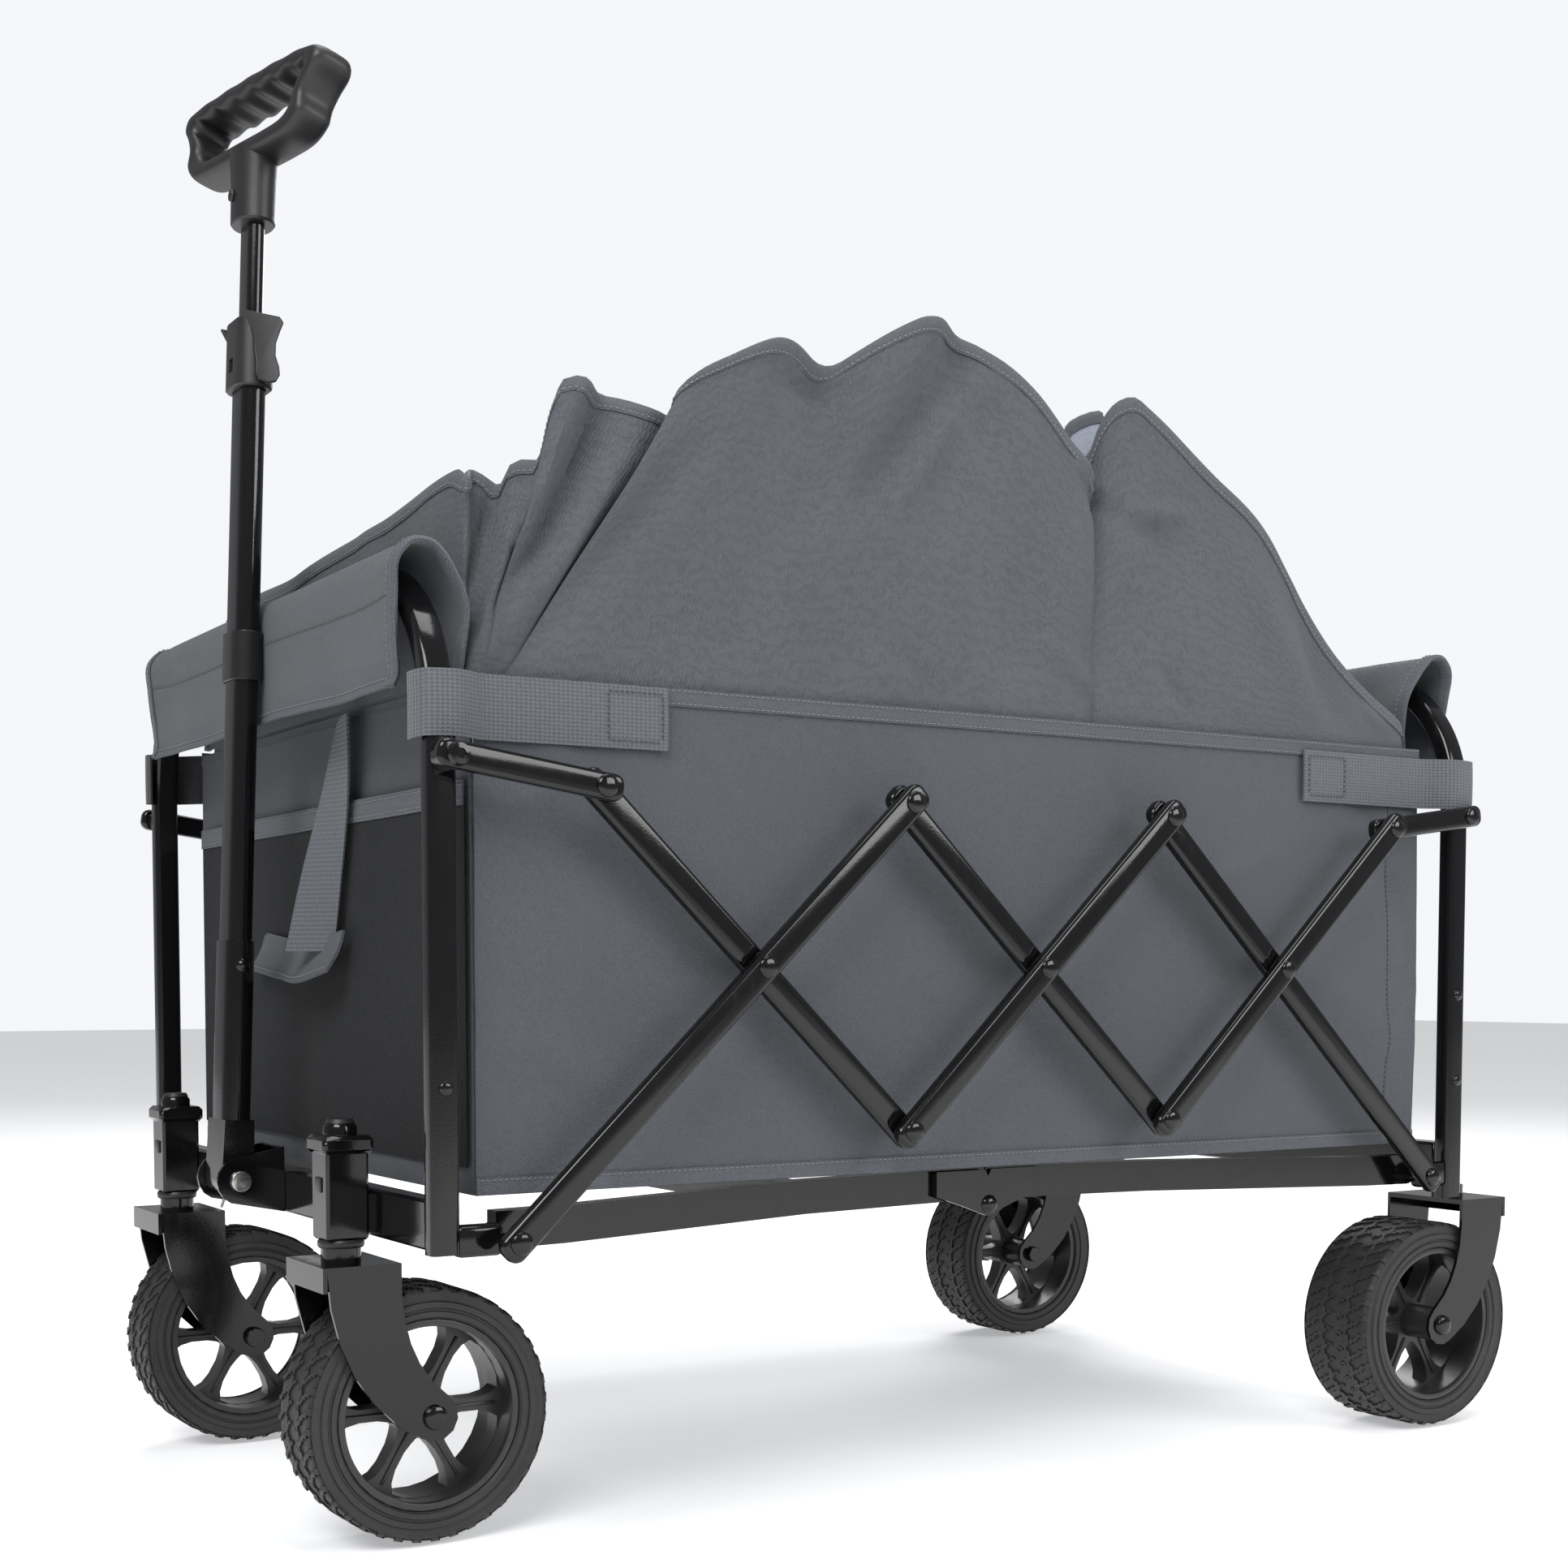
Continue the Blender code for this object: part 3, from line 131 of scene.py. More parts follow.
class Graph:
    """The node tree of one material."""

    def __init__(self, name: str) -> None:
        """Starts a material with an empty Principled shader.

        Args:
            name: The material's name.
        """
        self.material = bpy.data.materials.new(name)
        self.material.use_nodes = True
        self.tree = self.material.node_tree
        self.shader = self.tree.nodes["Principled BSDF"]

    def node(self, kind: str, settings: dict[str, Any], inputs: dict[Any, Any], out: Any = 0) -> Wire:
        """Adds any node.

        Args:
            kind: The node's type.
            settings: Its properties, and "stops" for a colour ramp's (position, colour) pairs.
            inputs: A value or a Wire for each socket, by name or number.
            out: The output that is returned.

        Returns:
            The output as a Wire.
        """
        made = self.tree.nodes.new(kind)
        for key, value in settings.items():
            if key == "stops":
                ramp = made.color_ramp
                while len(ramp.elements) < len(value):
                    ramp.elements.new(0.5)
                for element, (place, colour) in zip(ramp.elements, value):
                    element.position = place
                    element.color = colour
            else:
                setattr(made, key, value)
        for key, value in inputs.items():
            self.feed(made.inputs[key], value)
        return Wire(self, made.outputs[out])

    def feed(self, socket: Any, value: Any) -> None:
        """Links a Wire to a socket, or sets the socket's value.

        Args:
            socket: The input.
            value: A Wire, a number or a colour.
        """
        if isinstance(value, Wire):
            self.tree.links.new(value.socket, socket)
        else:
            socket.default_value = value

    def place(self, scale: Point = (1.0, 1.0, 1.0)) -> Wire:
        """Object coordinates, scaled."""
        spot = self.node("ShaderNodeTexCoord", {}, {}, "Object")
        return self.node("ShaderNodeMapping", {}, {"Vector": spot, "Scale": scale})

    def noise(self, scale: float, detail: float = 2.0, stretch: Point = (1.0, 1.0, 1.0)) -> Wire:
        """Soft noise on object coordinates, 0 to 1."""
        inputs = {"Vector": self.place(stretch), "Scale": scale, "Detail": detail}
        return self.node("ShaderNodeTexNoise", {}, inputs, "Fac")

    def cloth_uv(self) -> tuple[Wire, Wire]:
        """The two cloth directions of the piece's UV map, in metres.

        Returns:
            The distance across and the distance along.
        """
        uv = self.node("ShaderNodeUVMap", {"uv_map": "cloth"}, {})
        split = self.node("ShaderNodeSeparateXYZ", {}, {0: uv})
        return split, Wire(self, split.socket.node.outputs[1])

    def ramp(
        self, value: Wire, low: Sequence[float], high: Sequence[float], start: float = 0.3,
        end: float = 0.7,
    ) -> Wire:
        """A colour between low and high by a value."""
        stops = [(start, (*low, 1.0)), (end, (*high, 1.0))]
        return self.node("ShaderNodeValToRGB", {"stops": stops}, {"Fac": value})

    def mixed(self, factor: Any, first: Any, second: Any) -> Wire:
        """A colour mixed of two.

        Args:
            factor: The share of the second colour.
            first: A colour.
            second: A colour.

        Returns:
            The mix.
        """
        made = self.tree.nodes.new("ShaderNodeMix")
        made.data_type = "RGBA"
        for index, value in ((0, factor), (6, first), (7, second)):
            self.feed(made.inputs[index], value)
        return Wire(self, made.outputs[2])

    def bump(self, height: Wire, depth: float, strength: float = 1.0, under: Wire | None = None) -> Wire:
        """A Bump node's normal, on top of another if one is given.

        Args:
            height: The height, 0 to 1.
            depth: What 1 stands for, in metres.
            strength: How strong it is.
            under: A normal that it adds to.

        Returns:
            The normal.
        """
        inputs = {"Height": height, "Distance": depth, "Strength": strength}
        if under is not None:
            inputs["Normal"] = under
        return self.node("ShaderNodeBump", {}, inputs)

    def dress(self, **sockets: Any) -> bpy.types.Material:
        """Feeds the shader's sockets, named with _ for a space, and returns the material.

        Args:
            sockets: A value or a Wire for each socket.

        Returns:
            The material.
        """
        for key, value in sockets.items():
            self.feed(self.shader.inputs[key.replace("_", " ")], value)
        return self.material


def shade(colour: Sequence[float], factor: float) -> tuple[float, float, float]:
    """A colour made lighter or darker."""
    return tuple(min(1.0, part * factor) for part in colour)


# ---- finishes ----------------------------------------------------------------------------------
@dataclass(frozen=True)
class PaintedSteel:
    """Glossy black powder coat with faint orange peel and dusty scuffs."""

    colour: Point = (0.0030, 0.0030, 0.0034)
    gloss: float = 0.095
    peel: float = 0.00003

    def make(self, name: str) -> bpy.types.Material:
        """The material under the given name.

        Args:
            name: The material's name.

        Returns:
            The material.
        """
        graph = Graph(name)
        cloud = graph.noise(14.0, 4.0)
        fine = graph.noise(900.0, 1.0)
        scuff = graph.noise(120.0, 5.0, (1.0, 1.0, 0.35)) ** 6.0
        colour = graph.ramp(cloud, self.colour, shade(self.colour, 1.5))
        return graph.dress(
            Base_Color=colour,
            Roughness=cloud * 0.06 + scuff * 0.5 + (self.gloss - 0.03),
            Specular_IOR_Level=0.36,
            Coat_Weight=0.12,
            Coat_Roughness=0.05,
            Normal=graph.bump(fine, self.peel),
        )


@dataclass(frozen=True)
class MouldedPlastic:
    """Black plastic with a fine spark-eroded grain."""

    colour: Point = (0.0125, 0.0125, 0.0132)
    gloss: float = 0.36
    grain: float = 0.00012

    def make(self, name: str) -> bpy.types.Material:
        """The material under the given name.

        Args:
            name: The material's name.

        Returns:
            The material.
        """
        graph = Graph(name)
        cloud = graph.noise(22.0, 3.0)
        grain = graph.noise(1500.0, 3.0)
        return graph.dress(
            Base_Color=graph.ramp(cloud, self.colour, shade(self.colour, 1.5)),
            Roughness=cloud * 0.16 + grain * 0.10 + (self.gloss - 0.10),
            Normal=graph.bump(grain, self.grain),
        )


@dataclass(frozen=True)
class TyreRubber:
    """Black foam rubber, matt, with a light bloom in soft random patches."""

    colour: Point = (0.0145, 0.0145, 0.0150)

    def make(self, name: str) -> bpy.types.Material:
        """The material under the given name.

        Args:
            name: The material's name.

        Returns:
            The material.
        """
        graph = Graph(name)
        cloud = graph.noise(30.0, 5.0)
        grain = graph.noise(1100.0, 4.0)
        dust = graph.noise(260.0, 4.0) ** 3.0
        base = graph.ramp(cloud, self.colour, shade(self.colour, 1.6))
        return graph.dress(
            Base_Color=graph.mixed(dust * 0.8, base, (0.045, 0.044, 0.042, 1.0)),
            Roughness=cloud * 0.2 + grain * 0.12 + 0.40,
            Specular_IOR_Level=0.42,
            Normal=graph.bump(grain, 0.00018),
        )


@dataclass(frozen=True)
class ZincPlate:
    """Bright zinc on steel, with fine brushed lines."""

    colour: Point = (0.58, 0.57, 0.54)

    def make(self, name: str) -> bpy.types.Material:
        """The material under the given name.

        Args:
            name: The material's name.

        Returns:
            The material.
        """
        graph = Graph(name)
        line = graph.noise(420.0, 3.0, (1.0, 0.15, 1.0))
        return graph.dress(
            Base_Color=graph.ramp(line, shade(self.colour, 0.72), self.colour),
            Metallic=1.0,
            Roughness=line * 0.22 + 0.16,
            Normal=graph.bump(line, 0.00004),
        )


@dataclass(frozen=True)
class WovenCloth:
    """Plain woven polyester, with the thread pitch in metres, a mottled yarn colour and painted shade between
    the threads.
    """

    colour: Point
    pitch: float = 0.0011
    depth: float = 0.00030
    sheen: float = 0.12
    mottle: float = 0.34

    def make(self, name: str) -> bpy.types.Material:
        """The material under the given name.

        Args:
            name: The material's name.

        Returns:
            The material.
        """
        graph = Graph(name)
        across, along = graph.cloth_uv()
        turns = math.pi / self.pitch
        yarn = graph.noise(760.0, 2.0)
        drift = graph.noise(95.0, 2.0) * 9.0
        warp = (across * turns + drift).sine()
        weft = (along * turns + drift).sine()
        over = (warp * weft) > 0.0
        weave = over * warp.size() + (1.0 - over) * weft.size()
        cloud = graph.noise(9.0, 3.0)
        fold = graph.noise(26.0, 2.0)
        dark, light = shade(self.colour, 1.0 - self.mottle), shade(self.colour, 1.0 + self.mottle)
        # The weave's height also darkens the colour: painted shade in the gaps between the threads, on top of
        # the real yarn mottle.
        colour = graph.ramp(yarn * 0.55 + cloud * 0.15 + weave * 0.30, dark, light, 0.25, 0.75)
        soft = graph.bump(fold, 0.0010, 0.35)
        return graph.dress(
            Base_Color=colour,
            Roughness=weave * 0.12 + 0.72,
            Sheen_Weight=self.sheen,
            Sheen_Roughness=0.45,
            Specular_IOR_Level=0.30,
            Normal=graph.bump(weave, self.depth, 0.9, soft),
        )


@dataclass(frozen=True)
class Webbing:
    """Heavy ribbed tape, with ribs across its length."""

    colour: Point
    pitch: float = 0.0034

    def make(self, name: str) -> bpy.types.Material:
        """The material under the given name.

        Args:
            name: The material's name.

        Returns:
            The material.
        """
        graph = Graph(name)
        across, along = graph.cloth_uv()
        rib = (along * (2 * math.pi / self.pitch)).sine() * 0.5 + 0.5
        thread = (across * (2 * math.pi / (self.pitch * 0.75)) + rib * 1.4).sine() * 0.5 + 0.5
        yarn = graph.noise(500.0, 3.0)
        weave = rib * 0.55 + thread * 0.45
        # The colour follows the ribs' height: painted shade in the troughs between ribs and threads, on top
        # of the real yarn mottle.
        colour = graph.ramp(
            weave * 0.6 + yarn * 0.4, shade(self.colour, 0.62), shade(self.colour, 1.3), 0.2, 0.8,
        )
        return graph.dress(
            Base_Color=colour,
            Roughness=weave * 0.15 + 0.66,
            Sheen_Weight=0.15,
            Normal=graph.bump(weave, 0.00060),
        )


@dataclass(frozen=True)
class MeshNet:
    """Black knitted net: open cells with thick threads between them."""

    cell: float = 0.0034
    thread: Point = (0.0075, 0.0078, 0.0085)
    # The cells are painted with the slate panel seen through the net at about a fifth of its brightness:
    # painted shade under the net.
    behind: Point = (0.014, 0.0155, 0.018)

    def make(self, name: str) -> bpy.types.Material:
        """The material under the given name.

        Args:
            name: The material's name.

        Returns:
            The material.
        """
        graph = Graph(name)
        across, along = graph.cloth_uv()
        turns = math.pi / self.cell
        first = ((across + along) * turns).sine().size()
        second = ((across - along) * turns).sine().size()
        hole = (first * second) ** 0.7
        fuzz = graph.noise(700.0, 2.0)
        # The cells get the painted shade of the panel behind the net; the threads get their own black.
        return graph.dress(
            Base_Color=graph.mixed(hole, (*self.thread, 1.0), (*self.behind, 1.0)),
            Roughness=fuzz * 0.2 + 0.66,
            Sheen_Weight=0.04,
            Specular_IOR_Level=0.14,
            Normal=graph.bump(1.0 - hole, 0.0007, 0.8),
        )


@dataclass(frozen=True)
class Felt:
    """Dark needled felt of the floor pad."""

    colour: Point = (0.040, 0.043, 0.049)

    def make(self, name: str) -> bpy.types.Material:
        """The material under the given name.

        Args:
            name: The material's name.

        Returns:
            The material.
        """
        graph = Graph(name)
        fibre = graph.noise(900.0, 6.0)
        cloud = graph.noise(18.0, 4.0)
        return graph.dress(
            Base_Color=graph.ramp(
                fibre * 0.6 + cloud * 0.4, shade(self.colour, 0.6), shade(self.colour, 1.5),
            ),
            Roughness=fibre * 0.1 + 0.85,
            Sheen_Weight=0.3,
            Normal=graph.bump(fibre, 0.0006),
        )


SLATE = (0.072, 0.0775, 0.0880)
STEEL, PLASTIC, RUBBER, ZINC, FELT, NET = (
    PaintedSteel(), MouldedPlastic(), TyreRubber(), ZincPlate(), Felt(), MeshNet()
)
RIM_PLASTIC = MouldedPlastic((0.016, 0.016, 0.0168), 0.30, 0.00008)
OXFORD = WovenCloth(SLATE)
LINING = WovenCloth((0.30, 0.325, 0.385), 0.0006, 0.00014, 0.10, 0.16)
BINDING = WovenCloth(shade(SLATE, 1.12), 0.0014, 0.0004)
TAPE = Webbing((0.088, 0.096, 0.108))
DARK_TAPE = Webbing((0.014, 0.0145, 0.016))
THREAD = WovenCloth((0.170, 0.180, 0.198), 0.0005, 0.0001, 0.2, 0.1)
DARK_THREAD = WovenCloth((0.034, 0.037, 0.043), 0.0005, 0.0001, 0.3, 0.1)


# ---- workshop ----------------------------------------------------------------------------------
def settle(
    obj: bpy.types.Object, finish: Any, body: str, replaces: Iterable[str] = (),
) -> bpy.types.Object:
    """Gives a finished mesh its material, its body and the CAD nodes that it stands for.

    Args:
        obj: The piece, with its place in its mesh.
        finish: The finish whose material it gets, or None if it has its materials.
        body: The CAD body that it rides on.
        replaces: The CAD nodes that it replaces.

    Returns:
        The piece.
    """
    if finish is not None:
        obj.data.materials.clear()
        obj.data.materials.append(finish.make(obj.name + "_finish"))
    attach(obj, body)
    names = list(replaces)
    if names:
        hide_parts(*names)
    LOG.info("%s rides on %s", obj.name, body)
    return obj


def deselect() -> None:
    """Nothing is selected, in object mode."""
    if bpy.context.mode != "OBJECT":
        bpy.ops.object.mode_set(mode="OBJECT")
    bpy.ops.object.select_all(action="DESELECT")


def activate(obj: bpy.types.Object) -> None:
    """Only this object is selected, and it is active.

    Args:
        obj: The object.
    """
    deselect()
    obj.select_set(True)
    bpy.context.view_layer.objects.active = obj


def apply(obj: bpy.types.Object, kind: str, **settings: Any) -> bpy.types.Object:
    """Adds a modifier, applies it and returns the object.

    Args:
        obj: The object.
        kind: The type of the modifier.
        settings: The modifier's properties.

    Returns:
        The object.
    """
    activate(obj)
    step = obj.modifiers.new(kind.lower(), kind)
    for key, value in settings.items():
        setattr(step, key, value)
    bpy.ops.object.modifier_apply(modifier=step.name)
    return obj


def smooth(obj: bpy.types.Object, degrees: float = 40.0) -> bpy.types.Object:
    """Smooth shading across edges flatter than the angle.

    Args:
        obj: The object.
        degrees: The angle up to which an edge looks smooth.

    Returns:
        The object.
    """
    activate(obj)
    bpy.ops.object.shade_smooth_by_angle(angle=math.radians(degrees))
    return obj


def round_edges(
    obj: bpy.types.Object, width: float, segments: int = 2, degrees: float = 35.0,
) -> bpy.types.Object:
    """Bevels the edges sharper than the angle.

    Args:
        obj: The object.
        width: The width of the bevel.
        segments: Its segments.
        degrees: The angle from which an edge is sharp.

    Returns:
        The object.
    """
    return apply(
        obj, "BEVEL", width=width, segments=segments, limit_method="ANGLE",
        angle_limit=math.radians(degrees), harden_normals=False, use_clamp_overlap=True,
    )


def outwards(obj: bpy.types.Object) -> None:
    """Turns the faces of closed shells outwards.

    Args:
        obj: The object, whose shells are closed.
    """
    activate(obj)
    bpy.ops.object.mode_set(mode="EDIT")
    bpy.ops.mesh.select_all(action="SELECT")
    bpy.ops.mesh.normals_make_consistent(inside=False)
    bpy.ops.object.mode_set(mode="OBJECT")


def fixed(obj: bpy.types.Object) -> bpy.types.Object:
    """Puts the object's turn, scale and place into its mesh.

    Args:
        obj: The object.

    Returns:
        The object.
    """
    activate(obj)
    bpy.ops.object.transform_apply(location=True, rotation=True, scale=True)
    return obj


def joined(name: str, parts: Sequence[bpy.types.Object]) -> bpy.types.Object:
    """One object of several, under a new name.

    Args:
        name: The new name.
        parts: The objects, which become one.

    Returns:
        The one object.
    """
    deselect()
    for part in parts:
        part.select_set(True)
    bpy.context.view_layer.objects.active = parts[0]
    if len(parts) > 1:
        bpy.ops.object.join()
    parts[0].name = name
    parts[0].data.name = name
    return parts[0]


def block(
    low: Sequence[float], high: Sequence[float], edge: float = 0.001, segments: int = 2,
) -> bpy.types.Object:
    """A rounded block between two corners.

    Args:
        low: The lowest corner.
        high: The highest corner.
        edge: The radius of its edges.
        segments: The bevel's segments.

    Returns:
        The block.
    """
    centre = [(a + b) / 2 for a, b in zip(low, high)]
    deselect()
    bpy.ops.mesh.primitive_cube_add(size=1.0, location=centre)
    made = bpy.context.active_object
    made.scale = [b - a for a, b in zip(low, high)]
    fixed(made)
    return smooth(round_edges(made, edge, segments), 40.0)


def plate(outline: Sequence[tuple[float, float]], low: float, high: float, edge: float) -> bpy.types.Object:
    """A flat plate with a (y, z) outline, from low to high along X, with rounded edges.

    Args:
        outline: The (y, z) points.
        low: Its lower face along X.
        high: Its upper face along X.
        edge: The radius of its edges.

    Returns:
        The plate.
    """
    deselect()
    bpy.ops.mesh.primitive_circle_add(vertices=len(outline), fill_type="NGON", location=(0, 0, 0))
    made = bpy.context.active_object
    for vertex, (y, z) in zip(made.data.vertices, outline):
        vertex.co = (low, y, z)
    bpy.ops.object.mode_set(mode="EDIT")
    bpy.ops.mesh.select_all(action="SELECT")
    bpy.ops.mesh.extrude_region_move(TRANSFORM_OT_translate={"value": (high - low, 0.0, 0.0)})
    bpy.ops.mesh.select_all(action="SELECT")
    bpy.ops.mesh.normals_make_consistent(inside=False)
    bpy.ops.object.mode_set(mode="OBJECT")
    return smooth(round_edges(made, edge, 3, 50.0), 40.0)


def turned(
    profile: Sequence[tuple[float, float]], centre: Sequence[float], axis: str = "X",
    steps: int = 48,
) -> bpy.types.Object:
    """A solid of revolution spun from an outline that starts and ends on the axis.

    Args:
        profile: (along, radius) points of the outline.
        centre: A point on the axis.
        axis: The axis that it is spun about.
        steps: Steps round the turn.

    Returns:
        The solid, with its place in its mesh.
    """
    deselect()
    bpy.ops.mesh.primitive_circle_add(vertices=len(profile), fill_type="NOTHING", location=(0, 0, 0))
    made = bpy.context.active_object
    for vertex, (along, radius) in zip(made.data.vertices, profile):
        vertex.co = (along, 0.0, radius)
    bpy.ops.object.mode_set(mode="EDIT")
    bpy.ops.mesh.select_all(action="SELECT")
    bpy.ops.mesh.spin(steps=steps, angle=2 * math.pi, center=(0, 0, 0), axis=(1, 0, 0), use_normal_flip=False)
    bpy.ops.mesh.select_all(action="SELECT")
    bpy.ops.mesh.remove_doubles(threshold=1e-6)
    bpy.ops.mesh.dissolve_degenerate(threshold=1e-7)
    bpy.ops.mesh.select_all(action="SELECT")
    bpy.ops.mesh.normals_make_consistent(inside=False)
    bpy.ops.object.mode_set(mode="OBJECT")
    face = {
        "X": Matrix(), "Y": Matrix.Rotation(math.pi / 2, 4, "Z"),
        "Z": Matrix.Rotation(-math.pi / 2, 4, "Y"),
    }
    made.data.transform(Matrix.Translation(centre) @ face[axis])
    made.location = (0, 0, 0)
    return smooth(made, 35.0)


def refined(node: str, edge: float = 0.0006, degrees: float = 38.0, segments: int = 2) -> bpy.types.Object:
    """A merged copy of a CAD node's mesh with finely rounded edges.

    Args:
        node: The CAD node.
        edge: The radius of its edges, 0 for none.
        degrees: The sharpest angle that is left as it is.
        segments: The bevel's segments.

    Returns:
        The copy, named after the node with _shape behind.
    """
    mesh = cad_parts[node].data.copy()
    made = bpy.data.objects.new(node + "_shape", mesh)
    bpy.context.scene.collection.objects.link(made)
    activate(made)
    if mesh.has_custom_normals:
        bpy.ops.mesh.customdata_custom_splitnormals_clear()
    bpy.ops.object.mode_set(mode="EDIT")
    bpy.ops.mesh.select_all(action="SELECT")
    bpy.ops.mesh.remove_doubles(threshold=1e-5)
    bpy.ops.mesh.dissolve_limited(angle_limit=math.radians(0.6))
    bpy.ops.object.mode_set(mode="OBJECT")
    if edge:
        round_edges(made, edge, segments, degrees)
    smooth(made, degrees + 12.0)
    return apply(made, "WEIGHTED_NORMAL", keep_sharp=True, weight=60)


def twin(obj: bpy.types.Object, name: str, matrix: Matrix) -> bpy.types.Object:
    """A copy with its own mesh, moved by a matrix and turned right way out again if that mirrors it.

    Args:
        obj: The object that is copied.
        name: The copy's name.
        matrix: Where the copy goes.

    Returns:
        The copy.
    """
    mesh = obj.data.copy()
    mesh.transform(matrix)
    if matrix.determinant() < 0:
        mesh.flip_normals()
    made = bpy.data.objects.new(name, mesh)
    bpy.context.scene.collection.objects.link(made)
    return made


MIRROR = Matrix.Scale(-1.0, 4, (1, 0, 0))


# ---- cloth workshop ----------------------------------------------------------------------------
def lengths(points: np.ndarray) -> np.ndarray:
    """The distance run along a polyline, from 0."""
    steps = np.linalg.norm(np.diff(points, axis=0), axis=1)
    return np.concatenate([[0.0], np.cumsum(steps)])


def curve_through(points: Sequence[Sequence[float]], count: int) -> np.ndarray:
    """Points on a smooth curve through the given points, evenly spread by chord length.

    Args:
        points: The points that it passes.
        count: How many points are returned.

    Returns:
        The points as rows.
    """
    knots = np.array(points, float)
    run = lengths(knots)
    ends = np.vstack([2 * knots[0] - knots[1], knots, 2 * knots[-1] - knots[-2]])
    spans = np.concatenate([[run[0] - (run[1] - run[0])], run, [run[-1] + run[-1] - run[-2]]])
    slopes = (ends[2:] - ends[:-2]) / np.maximum(spans[2:] - spans[:-2], 1e-9)[:, None]
    wanted = np.linspace(0.0, run[-1], count)
    index = np.clip(np.searchsorted(run, wanted, side="right") - 1, 0, len(run) - 2)
    gap = np.maximum(run[index + 1] - run[index], 1e-9)
    t = ((wanted - run[index]) / gap)[:, None]
    a, b = knots[index], knots[index + 1]
    ma, mb = slopes[index] * gap[:, None], slopes[index + 1] * gap[:, None]
    return (
        (2 * t**3 - 3 * t**2 + 1) * a + (t**3 - 2 * t**2 + t) * ma
        + (3 * t**2 - 2 * t**3) * b + (t**3 - t**2) * mb
    )


def grid_normals(grid: np.ndarray) -> np.ndarray:
    """Unit normals of a grid of points."""
    normal = np.cross(np.gradient(grid, axis=1), np.gradient(grid, axis=0))
    return normal / np.maximum(np.linalg.norm(normal, axis=2, keepdims=True), 1e-12)


def grid_area(grid: np.ndarray) -> float:
    """The area of a grid of points.

    Args:
        grid: Points as (rows, columns, 3).

    Returns:
        The area in square metres.
    """
    a, b, c, d = grid[:-1, :-1], grid[:-1, 1:], grid[1:, 1:], grid[1:, :-1]
    first = np.linalg.norm(np.cross(b - a, c - a), axis=2).sum() / 2
    return float(first + np.linalg.norm(np.cross(c - a, d - a), axis=2).sum() / 2)


def grid_mesh(name: str, grid: np.ndarray, closed: bool = False) -> bpy.types.Object:
    """A mesh over a grid of points, with a UV map in metres.

    Args:
        name: The object's name.
        grid: Points as (rows, columns, 3).
        closed: Whether the last column joins the first.

    Returns:
        The object.
    """
    rows, columns = grid.shape[:2]
    spans = columns if closed else columns - 1
    faces = [
        (
            r * columns + c, r * columns + (c + 1) % columns, (r + 1) * columns + (c + 1) % columns,
            (r + 1) * columns + c,
        )
        for r in range(rows - 1)
        for c in range(spans)
    ]
    mesh = bpy.data.meshes.new(name)
    mesh.from_pydata(grid.reshape(-1, 3).tolist(), [], faces)
    across, along = lengths(grid[rows // 2]), lengths(grid[:, columns // 2])
    if closed:
        across = np.append(across, across[-1] + np.linalg.norm(grid[rows // 2, 0] - grid[rows // 2, -1]))
    layer = mesh.uv_layers.new(name="cloth")
    spots = []
    for r in range(rows - 1):
        for c in range(spans):
            for rr, cc in ((r, c), (r, c + 1), (r + 1, c + 1), (r + 1, c)):
                spots += [across[cc], along[rr]]
    layer.data.foreach_set("uv", spots)
    mesh.update()
    made = bpy.data.objects.new(name, mesh)
    bpy.context.scene.collection.objects.link(made)
    return made


def thick(obj: bpy.types.Object, thickness: float, offset: float = 0.0, inner: int = 0) -> bpy.types.Object:
    """Gives a sheet its thickness; inner is the material number of its back.

    Args:
        obj: The sheet.
        thickness: Its thickness.
        offset: The side that it grows to, -1 to 1.
        inner: The material number of its back.

    Returns:
        The sheet.
    """
    apply(
        obj, "SOLIDIFY", thickness=thickness, offset=offset, use_even_offset=False,
        material_offset=inner, use_rim=True, use_quality_normals=True,
    )
    outwards(obj)
    return smooth(obj, 60.0)


def flat_of(grid: np.ndarray) -> tuple[float, float]:
    """A cut size, width by length, with the area of a grid.

    Args:
        grid: Points as (rows, columns, 3).

    Returns:
        The width and the length.
    """
    area = grid_area(grid)
    tall = float(np.median([lengths(grid[:, c])[-1] for c in range(0, grid.shape[1], 5)]))
    return area / tall, tall


